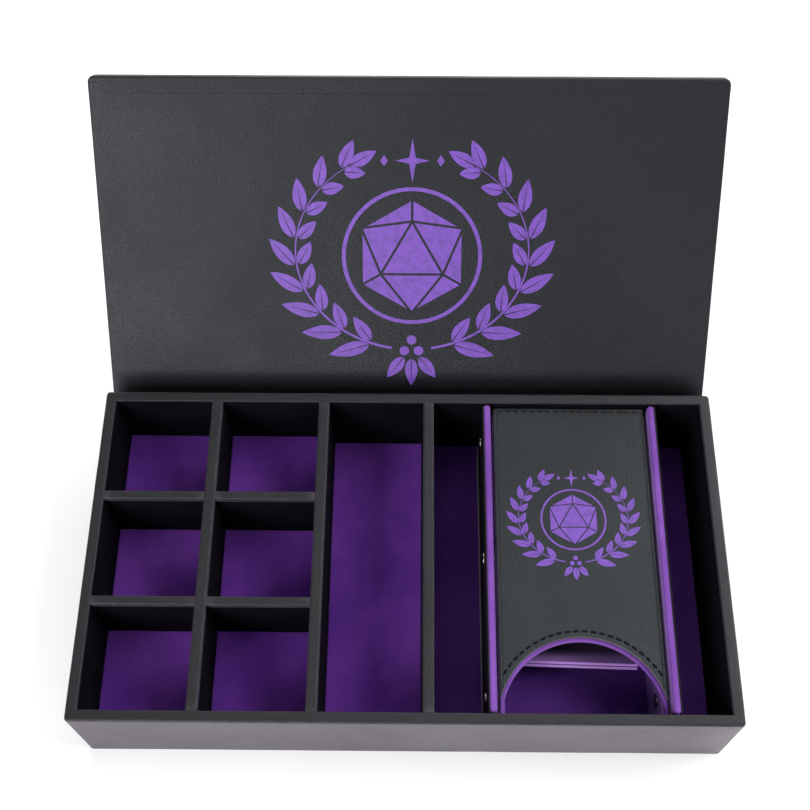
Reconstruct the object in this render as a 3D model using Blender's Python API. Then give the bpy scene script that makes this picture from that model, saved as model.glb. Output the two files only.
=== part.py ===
"""Dice tower box: a leather-wrapped case with dice cells, a tray bay and a lift-out dice tower.

Metres, +Z up. The origin is the middle of the case's underside, +X runs to the right along
the front, and +Y runs back to the hinged side. The lid is modelled shut and turned open.
"""

import math

import bmesh
import bpy
from mathutils import Matrix, Vector

# Clearances
GAP = 0.0003
CUT_OVERRUN = 0.002

# Case
CASE_DEPTH = 0.192
CASE_HEIGHT = 0.0624
CASE_CORNER_RADIUS = 0.0025
RIM_RADIUS = 0.0020
RIM_INNER_RADIUS = 0.0005
SKIN = 0.0010
WALL_BOARD = 0.0036
LINING = 0.0008
MIN_CORNER_RADIUS = 0.0004
BASE_SHEET = 0.0008
BASE_BOARD = 0.0027

# Dividers
LONG_DIVIDER = 0.0058
CROSS_DIVIDER = 0.0048
CELL_WIDTH = 0.0561
MIDDLE_WIDTH = 0.0547
CELL_ROWS = 3
DIVIDER_EDGE_RADIUS = 0.0009
NOTCH_DEPTH_SHARE = 0.5

# Floor pads
CELL_PAD = 0.0147
MIDDLE_PAD = 0.0058
BAY_PAD = 0.0017
PAD_EDGE_RADIUS = 0.0008

# Closure magnets
MAGNET_LENGTH = 0.020
WALL_MAGNET_HEIGHT = 0.005
LID_MAGNET_WIDTH = 0.010
LID_MAGNET_THICKNESS = 0.0025
MAGNET_SPACING = 0.170
MAGNET_EDGE_INSET = 0.0060

# Lid
LID_BOARD = 0.0060
LID_SKIN = 0.0010
LID_LINING = 0.0010
LID_LINING_PROUD = 0.0002
LID_TURN_IN = 0.0092
LID_FRONT_SETBACK = 0.0020
LID_CLOSED_GAP = 0.0005
LID_EDGE_RADIUS = 0.0018
LID_INNER_EDGE_RADIUS = 0.0008
LID_CORNER_RADIUS = 0.0030
LID_OPEN_ANGLE = math.radians(131.0)

# Lid hinge
HINGE_INSET = 0.0030
HINGE_DROP = 0.0100
STRAP_THICKNESS = 0.0006
STRAP_END_INSET = 0.0120
STRAP_WALL_LEAF = 0.0150
STRAP_LID_LEAF = 0.0066
STRAP_LID_BEND = 0.0008
MITER_LIMIT_SHARE = 0.5

# Tower
TOWER_WIDTH = 0.1000
TOWER_LEFT_GAP = 0.0282
TOWER_RIGHT_GAP = 0.0255
TOWER_END_GAP = 0.00075
TOWER_BELOW_RIM = 0.0005
TOWER_BACK = 0.0045
OUTER_PANEL = 0.0046
INNER_WALL = 0.0040
INNER_WALL_EDGE_RADIUS = 0.0004
FACE_LEATHER = 0.0016
FACE_LINING = 0.0015
FACE_RECESS = 0.0052
ARCH_RADIUS = 0.0450
ARCH_SETBACK = 0.0034
ARCH_BINDING = 0.0012
PANEL_EDGE_RADIUS = 0.0016
BACK_EDGE_RADIUS = 0.0008

# Tower ramps
RAMP_LENGTH = 0.0260
RAMP_THICKNESS = 0.0035
RAMP_ANGLE = math.radians(45.0)
RAMP_TAB = 0.0100
RAMP_SIDE_GAP = 0.0068
RAMP_EDGE_RADIUS = 0.0006
MOUTH_RAMP_PLACE = 0.0422
MIDDLE_RAMP_OFFSET = 0.00765
ENTRY_RAMP_INSET = 0.0366
SPARE_SLOT_LENGTH = 0.0100
SPARE_SLOT_WIDTH = 0.0022
SPARE_SLOT_PLACE = 0.0150
SPARE_SLOT_HEIGHT = 0.0210

# Press studs
STUD_CAP_RADIUS = 0.0042
STUD_CAP_THICKNESS = 0.0013
STUD_CAP_RIM = 0.0005
STUD_POST_RADIUS = 0.0014
STUD_HEAD_RADIUS = 0.0035
STUD_HEAD_THICKNESS = 0.0011
STUD_END_INSET = 0.0127
STUD_END_HEIGHT = 0.0270
STUD_MIDDLE_DROP = 0.0066

# Panel hinge strips
HINGE_STRIP_THICKNESS = 0.0006
HINGE_STRIP_RISE = 0.0090
HINGE_STRIP_END_INSET = 0.0060

# Facets
SHARP_ANGLE = math.radians(40.0)
CORNER_STEPS = 4
RIM_STEPS = 3
ARCH_STEPS = 40
STUD_SIDES = 20
CAP_STEPS = 3
FOLD_STEPS = 4

# Places worked out from the sizes above
WALL = SKIN + GAP + WALL_BOARD + GAP + LINING
BAY_WIDTH = TOWER_LEFT_GAP + TOWER_WIDTH + TOWER_RIGHT_GAP
CASE_WIDTH = 2 * WALL + 2 * CELL_WIDTH + 3 * LONG_DIVIDER + MIDDLE_WIDTH + BAY_WIDTH
LEFT = -CASE_WIDTH / 2
RIGHT = CASE_WIDTH / 2
FRONT = -CASE_DEPTH / 2
REAR = CASE_DEPTH / 2
BASE_BOARD_LOW = BASE_SHEET + GAP
FLOOR = BASE_BOARD_LOW + BASE_BOARD + GAP
BOARD_TOP = CASE_HEIGHT - SKIN - GAP
INNER_LEFT = LEFT + WALL
INNER_RIGHT = RIGHT - WALL
INNER_FRONT = FRONT + WALL
INNER_REAR = REAR - WALL
DIVIDER_X = [
    INNER_LEFT + CELL_WIDTH,
    INNER_LEFT + 2 * CELL_WIDTH + LONG_DIVIDER,
    INNER_LEFT + 2 * CELL_WIDTH + 2 * LONG_DIVIDER + MIDDLE_WIDTH,
]
BAY_LEFT = DIVIDER_X[2] + LONG_DIVIDER
CELL_DEPTH = (INNER_REAR - INNER_FRONT - (CELL_ROWS - 1) * CROSS_DIVIDER) / CELL_ROWS
NOTCH_LEVEL = CASE_HEIGHT - (CASE_HEIGHT - FLOOR) * NOTCH_DEPTH_SHARE
LID_THICKNESS = LID_SKIN + GAP + LID_BOARD + GAP + LID_SKIN
HINGE_Y = REAR - HINGE_INSET
HINGE_Z = CASE_HEIGHT - HINGE_DROP
TOWER_LEFT = BAY_LEFT + TOWER_LEFT_GAP
TOWER_RIGHT = TOWER_LEFT + TOWER_WIDTH
TOWER_MIDDLE = (TOWER_LEFT + TOWER_RIGHT) / 2
TOWER_FRONT = INNER_FRONT + TOWER_END_GAP
TOWER_REAR = INNER_REAR - TOWER_END_GAP
TOWER_LOW = FLOOR + BAY_PAD + GAP
PANEL_LOW = TOWER_LOW + TOWER_BACK + GAP
PANEL_TOP = CASE_HEIGHT - TOWER_BELOW_RIM
FACE_TOP = CASE_HEIGHT - FACE_RECESS
FACE_LINING_TOP = FACE_TOP - FACE_LEATHER - GAP
INNER_WALL_TOP = FACE_LINING_TOP - FACE_LINING - GAP
INNER_WALL_LEFT = TOWER_LEFT + OUTER_PANEL + GAP
INNER_WALL_RIGHT = TOWER_RIGHT - OUTER_PANEL - GAP
THROAT_LEFT = INNER_WALL_LEFT + INNER_WALL
THROAT_RIGHT = INNER_WALL_RIGHT - INNER_WALL
STUD_PLACES = {
    "front": (TOWER_FRONT + STUD_END_INSET, PANEL_LOW + STUD_END_HEIGHT),
    "middle": ((TOWER_FRONT + TOWER_REAR) / 2, INNER_WALL_TOP - STUD_MIDDLE_DROP),
    "rear": (TOWER_REAR - STUD_END_INSET, PANEL_LOW + STUD_END_HEIGHT),
}
SIDES = ("left", "right")

# Surface colours, roughness and metallic value
FINISHES = {
    "leather": ((0.045, 0.046, 0.050), 0.55, 0.0),
    "purple_velvet": ((0.095, 0.022, 0.230), 0.95, 0.0),
    "bright_velvet": ((0.260, 0.085, 0.520), 0.90, 0.0),
    "dark_lining": ((0.012, 0.010, 0.016), 0.90, 0.0),
    "greyboard": ((0.330, 0.300, 0.260), 0.95, 0.0),
    "base_felt": ((0.030, 0.030, 0.033), 0.95, 0.0),
    "magnet": ((0.550, 0.550, 0.560), 0.35, 1.0),
    "stud_metal": ((0.620, 0.580, 0.500), 0.30, 1.0),
}


def clear_scene():
    """Removes every object that the new scene starts with."""
    for item in list(bpy.data.objects):
        bpy.data.objects.remove(item, do_unlink=True)


def finish(name):
    """Gives the named material, made on its first use."""
    found = bpy.data.materials.get(name)
    if found:
        return found
    color, roughness, metallic = FINISHES[name]
    made = bpy.data.materials.new(name)
    made.use_nodes = True
    shader = made.node_tree.nodes["Principled BSDF"]
    shader.inputs["Base Color"].default_value = (*color, 1.0)
    shader.inputs["Roughness"].default_value = roughness
    shader.inputs["Metallic"].default_value = metallic
    made.diffuse_color = (*color, 1.0)
    return made


def add_empty(name, place):
    """Adds the empty that a moving body turns or slides about."""
    made = bpy.data.objects.new(name, None)
    made.location = place
    bpy.context.collection.objects.link(made)
    return made


def add_object(name, bm, material, origin=(0, 0, 0), parent=None, smooth=False):
    """Turns a mesh built in world places into an object whose origin is the given point."""
    bmesh.ops.translate(bm, verts=bm.verts, vec=-Vector(origin))
    bmesh.ops.recalc_face_normals(bm, faces=bm.faces)
    mesh = bpy.data.meshes.new(name)
    bm.to_mesh(mesh)
    bm.free()
    mesh.materials.append(finish(material))
    if smooth:
        mesh.shade_smooth()
        mesh.set_sharp_from_angle(angle=SHARP_ANGLE)
    made = bpy.data.objects.new(name, mesh)
    bpy.context.collection.objects.link(made)
    if parent:
        made.parent = parent
        made.location = Vector(origin) - parent.location
    else:
        made.location = origin
    return made


def round_edges(piece, radius, segments=2):
    """Rounds the sharp edges of a piece."""
    bevel = piece.modifiers.new("rounded_edges", "BEVEL")
    bevel.width = radius
    bevel.segments = segments
    bevel.limit_method = "ANGLE"
    bevel.angle_limit = SHARP_ANGLE


def fill_box(bm, low, high):
    """Adds a box between two corners to a mesh."""
    size = Vector(high) - Vector(low)
    middle = (Vector(high) + Vector(low)) / 2
    place = Matrix.Translation(middle) @ Matrix.Diagonal((*size, 1))
    return bmesh.ops.create_cube(bm, size=1, matrix=place)


def box_piece(name, low, high, material, radius=0, origin=None, parent=None):
    """Makes one rectangular piece, with rounded edges where a radius is given."""
    bm = bmesh.new()
    fill_box(bm, low, high)
    middle = [(a + b) / 2 for a, b in zip(low, high)]
    piece = add_object(name, bm, material, origin or middle, parent)
    if radius:
        round_edges(piece, radius)
    return piece


def fill_outline(bm, outline, place, thickness):
    """Adds a flat outline, pushed out to a thickness, to a mesh. place maps (u, v, 0) to the world."""
    corners = [bm.verts.new(place @ Vector((u, v, 0))) for u, v in outline]
    face = bm.faces.new(corners)
    pushed = bmesh.ops.extrude_face_region(bm, geom=[face])
    moved = [item for item in pushed["geom"] if isinstance(item, bmesh.types.BMVert)]
    step = place.to_3x3() @ Vector((0, 0, thickness))
    bmesh.ops.translate(bm, verts=moved, vec=step)


def across_x(x):
    """The plane of (y, z) outlines at an x, pushed out along +X."""
    return Matrix(((0, 0, 1, x), (1, 0, 0, 0), (0, 1, 0, 0), (0, 0, 0, 1)))


def across_y(y):
    """The plane of (x, z) outlines at a y, pushed out along +Y."""
    return Matrix(((1, 0, 0, 0), (0, 0, 1, y), (0, 1, 0, 0), (0, 0, 0, 1)))


def rounded_rectangle(low, high, radius):
    """Points round a rectangle with rounded corners, from its front right corner on."""
    points = []
    middles = [
        (high[0] - radius, low[1] + radius, -90),
        (high[0] - radius, high[1] - radius, 0),
        (low[0] + radius, high[1] - radius, 90),
        (low[0] + radius, low[1] + radius, 180),
    ]
    for x, y, start in middles:
        for step in range(CORNER_STEPS + 1):
            turn = math.radians(start + 90 * step / CORNER_STEPS)
            points.append((x + radius * math.cos(turn), y + radius * math.sin(turn)))
    return points


def swept_rings(bm, profile, low, high, corner_radius):
    """Adds one ring of points for each (inset, z) of a profile, and gives the rings."""
    rings = []
    for inset, z in profile:
        radius = max(corner_radius - inset, MIN_CORNER_RADIUS)
        near = (low[0] + inset, low[1] + inset)
        far = (high[0] - inset, high[1] - inset)
        rings.append([bm.verts.new((x, y, z)) for x, y in rounded_rectangle(near, far, radius)])
    return rings


def skin_between(bm, first, second):
    """Joins two rings of points with faces."""
    count = len(first)
    for i in range(count):
        j = (i + 1) % count
        bm.faces.new((first[i], first[j], second[j], second[i]))


def quarter_arc(inset, z, radius, start):
    """Points of a quarter turn of a profile round a middle, in (inset, z)."""
    points = []
    for step in range(RIM_STEPS + 1):
        turn = math.radians(start + 90 * step / RIM_STEPS)
        points.append((inset - radius * math.cos(turn), z + radius * math.sin(turn)))
    return points


def build_base():
    """The felt sheet underneath and the base board."""
    inset = SKIN + GAP
    box_piece(
        "base_sheet",
        (LEFT + inset, FRONT + inset, 0),
        (RIGHT - inset, REAR - inset, BASE_SHEET),
        "base_felt",
    )
    inset = SKIN + GAP + WALL_BOARD + GAP
    box_piece(
        "base_board",
        (LEFT + inset, FRONT + inset, BASE_BOARD_LOW),
        (RIGHT - inset, REAR - inset, BASE_BOARD_LOW + BASE_BOARD),
        "greyboard",
    )


def magnet_places():
    """The middle x of each closure magnet."""
    return [-MAGNET_SPACING / 2, MAGNET_SPACING / 2]


def build_wall_boards():
    """The four boards of the case, the front one with open notches for the magnets."""
    inset = SKIN + GAP
    low = BASE_BOARD_LOW
    notch_low = BOARD_TOP - WALL_MAGNET_HEIGHT - GAP
    outline = [(LEFT + inset, low), (RIGHT - inset, low), (RIGHT - inset, BOARD_TOP)]
    for x in reversed(magnet_places()):
        half = MAGNET_LENGTH / 2 + GAP
        outline += [(x + half, BOARD_TOP), (x + half, notch_low)]
        outline += [(x - half, notch_low), (x - half, BOARD_TOP)]
    outline.append((LEFT + inset, BOARD_TOP))
    bm = bmesh.new()
    fill_outline(bm, outline, across_y(FRONT + inset), WALL_BOARD)
    add_object("front_board", bm, "greyboard", (0, FRONT + inset, low))
    box_piece(
        "rear_board",
        (LEFT + inset, REAR - inset - WALL_BOARD, low),
        (RIGHT - inset, REAR - inset, BOARD_TOP),
        "greyboard",
    )
    side_front = FRONT + inset + WALL_BOARD + GAP
    side_rear = REAR - inset - WALL_BOARD - GAP
    for name, x in (("left_board", LEFT + inset), ("right_board", RIGHT - inset - WALL_BOARD)):
        box_piece(name, (x, side_front, low), (x + WALL_BOARD, side_rear, BOARD_TOP), "greyboard")


def build_wall_magnets():
    """The magnets in the notches of the front board."""
    y = FRONT + SKIN + GAP
    for side, x in zip(SIDES, magnet_places()):
        low = (x - MAGNET_LENGTH / 2, y, BOARD_TOP - WALL_MAGNET_HEIGHT)
        high = (x + MAGNET_LENGTH / 2, y + WALL_BOARD, BOARD_TOP)
        box_piece(f"{side}_wall_magnet", low, high, "magnet")


def build_outer_wrap():
    """The leather round the outside of the walls, turned over the rim."""
    low = GAP
    profile = [(0, low)]
    profile += quarter_arc(RIM_RADIUS, CASE_HEIGHT - RIM_RADIUS, RIM_RADIUS, 0)
    inner = WALL - RIM_INNER_RADIUS
    for step in range(1, RIM_STEPS + 1):
        turn = math.radians(90 - 90 * step / RIM_STEPS)
        rise = RIM_INNER_RADIUS * math.sin(turn)
        profile.append((inner + RIM_INNER_RADIUS * math.cos(turn), CASE_HEIGHT - RIM_INNER_RADIUS + rise))
    inside = [(WALL, CASE_HEIGHT - SKIN), (SKIN, CASE_HEIGHT - SKIN), (SKIN, low)]
    bm = bmesh.new()
    rings = swept_rings(bm, profile, (LEFT, FRONT), (RIGHT, REAR), CASE_CORNER_RADIUS)
    rings += swept_rings(bm, inside, (LEFT, FRONT), (RIGHT, REAR), MIN_CORNER_RADIUS)
    for first, second in zip(rings, rings[1:] + rings[:1]):
        skin_between(bm, first, second)
    add_object("outer_wrap", bm, "leather", smooth=True)


def build_inner_lining():
    """The dark lining of the walls' inner faces."""
    outer = WALL - LINING
    profile = [(outer, FLOOR), (WALL, FLOOR), (WALL, BOARD_TOP), (outer, BOARD_TOP)]
    bm = bmesh.new()
    rings = swept_rings(bm, profile, (LEFT, FRONT), (RIGHT, REAR), MIN_CORNER_RADIUS)
    for first, second in zip(rings, rings[1:] + rings[:1]):
        skin_between(bm, first, second)
    add_object("inner_lining", bm, "dark_lining", (0, 0, FLOOR), smooth=True)


def cross_places():
    """The front face of each cross divider."""
    return [
        INNER_FRONT + (row + 1) * CELL_DEPTH + row * CROSS_DIVIDER for row in range(CELL_ROWS - 1)
    ]


def build_long_dividers():
    """The three dividers from front to back; the first is notched from below."""
    front = INNER_FRONT + GAP
    rear = INNER_REAR - GAP
    top = NOTCH_LEVEL + GAP
    names = ("cell_divider_long", "cell_block_side", "bay_side")
    for index, (name, x) in enumerate(zip(names, DIVIDER_X)):
        outline = [(front, FLOOR)]
        if index == 0:
            for y in cross_places():
                outline += [(y - GAP, FLOOR), (y - GAP, top)]
                outline += [(y + CROSS_DIVIDER + GAP, top), (y + CROSS_DIVIDER + GAP, FLOOR)]
        outline += [(rear, FLOOR), (rear, CASE_HEIGHT), (front, CASE_HEIGHT)]
        bm = bmesh.new()
        fill_outline(bm, outline, across_x(x), LONG_DIVIDER)
        piece = add_object(name, bm, "leather", (x, 0, FLOOR))
        round_edges(piece, DIVIDER_EDGE_RADIUS)


def build_cross_dividers():
    """The two dividers across the cells, notched from above."""
    left = INNER_LEFT + GAP
    right = DIVIDER_X[1] - GAP
    notch_left = DIVIDER_X[0] - GAP
    notch_right = DIVIDER_X[0] + LONG_DIVIDER + GAP
    outline = [(left, FLOOR), (right, FLOOR), (right, CASE_HEIGHT), (notch_right, CASE_HEIGHT)]
    outline += [(notch_right, NOTCH_LEVEL), (notch_left, NOTCH_LEVEL)]
    outline += [(notch_left, CASE_HEIGHT), (left, CASE_HEIGHT)]
    for number, y in enumerate(cross_places(), start=1):
        bm = bmesh.new()
        fill_outline(bm, outline, across_y(y), CROSS_DIVIDER)
        piece = add_object(f"cell_divider_cross_{number}", bm, "leather", (0, y, FLOOR))
        round_edges(piece, DIVIDER_EDGE_RADIUS)


def build_pads():
    """The velvet pads on the floors of the cells, the middle compartment and the bay."""
    columns = [INNER_LEFT, DIVIDER_X[0] + LONG_DIVIDER]
    number = 0
    for row in range(CELL_ROWS):
        y = INNER_FRONT + row * (CELL_DEPTH + CROSS_DIVIDER)
        for x in columns:
            number += 1
            low = (x + GAP, y + GAP, FLOOR)
            high = (x + CELL_WIDTH - GAP, y + CELL_DEPTH - GAP, FLOOR + CELL_PAD)
            box_piece(f"cell_pad_{number}", low, high, "purple_velvet", PAD_EDGE_RADIUS)
    box_piece(
        "middle_pad",
        (DIVIDER_X[1] + LONG_DIVIDER + GAP, INNER_FRONT + GAP, FLOOR),
        (DIVIDER_X[2] - GAP, INNER_REAR - GAP, FLOOR + MIDDLE_PAD),
        "purple_velvet",
        PAD_EDGE_RADIUS,
    )
    box_piece(
        "bay_pad",
        (BAY_LEFT + GAP, INNER_FRONT + GAP, FLOOR),
        (INNER_RIGHT - GAP, INNER_REAR - GAP, FLOOR + BAY_PAD),
        "purple_velvet",
        min(PAD_EDGE_RADIUS, BAY_PAD / 2),
    )


def opened(y, z):
    """Turns a (y, z) place on the shut lid to where it lies on the open lid."""
    dy = y - HINGE_Y
    dz = z - HINGE_Z
    cosine = math.cos(LID_OPEN_ANGLE)
    sine = math.sin(LID_OPEN_ANGLE)
    return HINGE_Y + dy * cosine + dz * sine, HINGE_Z - dy * sine + dz * cosine


def build_lid(pivot):
    """The lid, shut at first: its cover, board, lining sheet and magnets."""
    low = CASE_HEIGHT + LID_CLOSED_GAP
    top = low + LID_THICKNESS
    near = (LEFT, FRONT + LID_FRONT_SETBACK)
    far = (RIGHT, REAR)
    origin = tuple(pivot.location)
    rounding = LID_INNER_EDGE_RADIUS
    profile = [(LID_TURN_IN, low)]
    for step in range(RIM_STEPS + 1):
        turn = math.radians(90 * step / RIM_STEPS)
        inset = rounding - rounding * math.sin(turn)
        profile.append((inset, low + rounding - rounding * math.cos(turn)))
    profile += quarter_arc(LID_EDGE_RADIUS, top - LID_EDGE_RADIUS, LID_EDGE_RADIUS, 0)
    inner_top = top - LID_SKIN
    inside = [(LID_SKIN, inner_top), (LID_SKIN, low + LID_SKIN), (LID_TURN_IN, low + LID_SKIN)]
    bm = bmesh.new()
    outer_rings = swept_rings(bm, profile, near, far, LID_CORNER_RADIUS)
    inner_rings = swept_rings(bm, inside, near, far, MIN_CORNER_RADIUS)
    rings = outer_rings[:]
    for first, second in zip(rings, rings[1:]):
        skin_between(bm, first, second)
    bm.faces.new(outer_rings[-1])
    bm.faces.new(inner_rings[0])
    for first, second in zip(inner_rings, inner_rings[1:]):
        skin_between(bm, first, second)
    skin_between(bm, inner_rings[-1], outer_rings[0])
    add_object("lid_cover", bm, "leather", origin, pivot, smooth=True)

    inset = LID_SKIN + GAP
    board_low = low + LID_SKIN + GAP
    board = box_piece(
        "lid_board",
        (near[0] + inset, near[1] + inset, board_low),
        (far[0] - inset, far[1] - inset, board_low + LID_BOARD),
        "greyboard",
        origin=origin,
        parent=pivot,
    )
    magnet_front = near[1] + LID_TURN_IN + MAGNET_EDGE_INSET
    magnet_rear = magnet_front + LID_MAGNET_WIDTH
    magnet_top = board_low + LID_MAGNET_THICKNESS
    pockets = bmesh.new()
    for side, x in zip(SIDES, magnet_places()):
        half = MAGNET_LENGTH / 2
        fill_box(
            pockets,
            (x - half - GAP, magnet_front - GAP, board_low - CUT_OVERRUN),
            (x + half + GAP, magnet_rear + GAP, magnet_top + GAP),
        )
        box_piece(
            f"{side}_lid_magnet",
            (x - half, magnet_front, board_low),
            (x + half, magnet_rear, magnet_top),
            "magnet",
            origin=origin,
            parent=pivot,
        )
    cut(board, "lid_magnet_pockets", pockets, origin, pivot)

    inset = LID_TURN_IN + GAP
    box_piece(
        "lid_lining",
        (near[0] + inset, near[1] + inset, low - LID_LINING_PROUD),
        (far[0] - inset, far[1] - inset, low - LID_LINING_PROUD + LID_LINING),
        "leather",
        origin=origin,
        parent=pivot,
    )
    pivot.rotation_euler = (-LID_OPEN_ANGLE, 0, 0)


def cut(piece, name, bm, origin=(0, 0, 0), parent=None):
    """Cuts a mesh of closed shapes out of a piece."""
    tool = add_object(name, bm, "greyboard", origin, parent)
    tool.hide_render = True
    tool.display_type = "WIRE"
    boolean = piece.modifiers.new(name, "BOOLEAN")
    boolean.operation = "DIFFERENCE"
    boolean.solver = "EXACT"
    boolean.object = tool


def strip_outline(points, thickness):
    """The outline of a thin strip whose middle follows the given points."""
    first = []
    second = []
    last = len(points) - 1
    for i, point in enumerate(points):
        before = Vector(point) - Vector(points[max(i - 1, 0)])
        after = Vector(points[min(i + 1, last)]) - Vector(point)
        before = before.normalized() if before.length else after.normalized()
        after = after.normalized() if after.length else before
        along = (before + after).normalized()
        normal = Vector((-along.y, along.x))
        miter = max(normal.dot(Vector((-before.y, before.x))), MITER_LIMIT_SHARE)
        reach = thickness / 2 / miter
        first.append(Vector(point) + normal * reach)
        second.append(Vector(point) - normal * reach)
    return [tuple(p) for p in first + second[::-1]]


def build_hinge_strap():
    """The leather strip that is the lid's hinge, folded as it lies with the lid open.

    One leaf is glued on the rear wall, a free run hangs down from the fold at its top, and the
    other leaf is glued on the lid's rear edge.
    """
    leaf_y = REAR + GAP + STRAP_THICKNESS / 2
    fold_radius = (GAP + STRAP_THICKNESS) / 2
    run_y = leaf_y + 2 * fold_radius
    corner = opened(REAR + GAP + STRAP_THICKNESS / 2, CASE_HEIGHT + LID_CLOSED_GAP + STRAP_LID_BEND)
    end = opened(
        REAR + GAP + STRAP_THICKNESS / 2,
        CASE_HEIGHT + LID_CLOSED_GAP + STRAP_LID_BEND + STRAP_LID_LEAF,
    )
    points = [(leaf_y, HINGE_Z - STRAP_WALL_LEAF)]
    for step in range(FOLD_STEPS + 1):
        turn = math.pi * step / FOLD_STEPS
        points.append(
            (
                leaf_y + fold_radius - fold_radius * math.cos(turn),
                HINGE_Z - fold_radius + fold_radius * math.sin(turn),
            )
        )
    points += [(run_y, corner[1] + STRAP_LID_BEND), corner, end]
    bm = bmesh.new()
    left = LEFT + STRAP_END_INSET
    fill_outline(
        bm, strip_outline(points, STRAP_THICKNESS), across_x(left), CASE_WIDTH - 2 * STRAP_END_INSET
    )
    add_object("hinge_strap", bm, "leather", (0, REAR, HINGE_Z), smooth=True)


def arch_outline(half_width, radius):
    """The tower face's outline, in (x from its middle, y), with the arch at its front end."""
    middle = TOWER_FRONT - ARCH_SETBACK
    start = math.asin(ARCH_SETBACK / radius)
    outline = [(-half_width, TOWER_FRONT)]
    for step in range(ARCH_STEPS + 1):
        turn = math.pi - start - (math.pi - 2 * start) * step / ARCH_STEPS
        outline.append((radius * math.cos(turn), middle + radius * math.sin(turn)))
    outline += [(half_width, TOWER_FRONT), (half_width, TOWER_REAR), (-half_width, TOWER_REAR)]
    return outline


def build_tower_face(body):
    """The leather face with its arch, and the velvet layer behind it."""
    half = TOWER_WIDTH / 2 - OUTER_PANEL - GAP
    origin = (TOWER_MIDDLE, 0, FACE_TOP)
    for name, low, thickness, radius, material in (
        ("tower_face", FACE_TOP - FACE_LEATHER, FACE_LEATHER, ARCH_RADIUS, "leather"),
        (
            "tower_face_lining",
            FACE_LINING_TOP - FACE_LINING,
            FACE_LINING,
            ARCH_RADIUS - ARCH_BINDING,
            "bright_velvet",
        ),
    ):
        bm = bmesh.new()
        place = Matrix.Translation((TOWER_MIDDLE, 0, low))
        fill_outline(bm, arch_outline(half, radius), place, thickness)
        add_object(name, bm, material, origin, body)


def ramp_places():
    """Each ramp's name, middle (y, z) and slope; a negative slope falls towards the tower's top end."""
    reach = RAMP_LENGTH / 2 * math.sin(RAMP_ANGLE) + RAMP_THICKNESS / 2 * math.cos(RAMP_ANGLE)
    low = PANEL_LOW + reach
    high = INNER_WALL_TOP - reach
    return [
        ("mouth_ramp", TOWER_FRONT + MOUTH_RAMP_PLACE, low, -RAMP_ANGLE),
        ("middle_ramp", STUD_PLACES["middle"][0] + MIDDLE_RAMP_OFFSET, high, RAMP_ANGLE),
        ("entry_ramp", TOWER_REAR - ENTRY_RAMP_INSET, low, -RAMP_ANGLE),
    ]


def slope_matrix(y, z, slope):
    """Places a flat piece of the (x, along) plane at a ramp's middle."""
    return Matrix.Translation((TOWER_MIDDLE, y, z)) @ Matrix.Rotation(slope, 4, "X")


def build_ramps(body):
    """The three slanted ramps, each held by a tab in a slot of either inner wall."""
    half = (THROAT_RIGHT - THROAT_LEFT) / 2 - RAMP_SIDE_GAP
    tip = (THROAT_RIGHT - THROAT_LEFT) / 2 - GAP + INNER_WALL
    run = RAMP_LENGTH / 2
    tab = RAMP_TAB / 2
    outline = [(half, -run), (half, -tab), (tip, -tab), (tip, tab), (half, tab), (half, run)]
    outline += [(-x, -v) for x, v in outline]
    for name, y, z, slope in ramp_places():
        place = slope_matrix(y, z, slope) @ Matrix.Translation((0, 0, -RAMP_THICKNESS / 2))
        bm = bmesh.new()
        fill_outline(bm, outline, place, RAMP_THICKNESS)
        piece = add_object(name, bm, "bright_velvet", (TOWER_MIDDLE, y, z), body)
        round_edges(piece, RAMP_EDGE_RADIUS, 1)


def fill_turned(bm, profile, place):
    """Adds a turned shape to a mesh: (radius, height) from its lower middle to its upper middle."""
    rings = []
    for radius, height in profile:
        if radius == 0:
            rings.append([bm.verts.new(place @ Vector((0, 0, height)))])
            continue
        ring = []
        for side in range(STUD_SIDES):
            turn = 2 * math.pi * side / STUD_SIDES
            spot = Vector((radius * math.cos(turn), radius * math.sin(turn), height))
            ring.append(bm.verts.new(place @ spot))
        rings.append(ring)
    for first, second in zip(rings, rings[1:]):
        for i in range(STUD_SIDES):
            j = (i + 1) % STUD_SIDES
            if len(first) == 1:
                bm.faces.new((first[0], second[i], second[j]))
            elif len(second) == 1:
                bm.faces.new((first[i], first[j], second[0]))
            else:
                bm.faces.new((first[i], first[j], second[j], second[i]))


def sideways(x, y, z, side):
    """Turns a piece's own +Z to point out of the tower's left (-1) or right (+1) side."""
    return Matrix.Translation((x, y, z)) @ Matrix.Rotation(side * math.pi / 2, 4, "Y")


def stud_holes(x, length):
    """The holes of one board's press studs, run past both its faces along X."""
    bm = bmesh.new()
    radius = STUD_POST_RADIUS + GAP
    profile = [(0, -CUT_OVERRUN), (radius, -CUT_OVERRUN), (radius, length + CUT_OVERRUN)]
    profile.append((0, length + CUT_OVERRUN))
    for y, z in STUD_PLACES.values():
        fill_turned(bm, profile, sideways(x, y, z, 1))
    return bm


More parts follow.
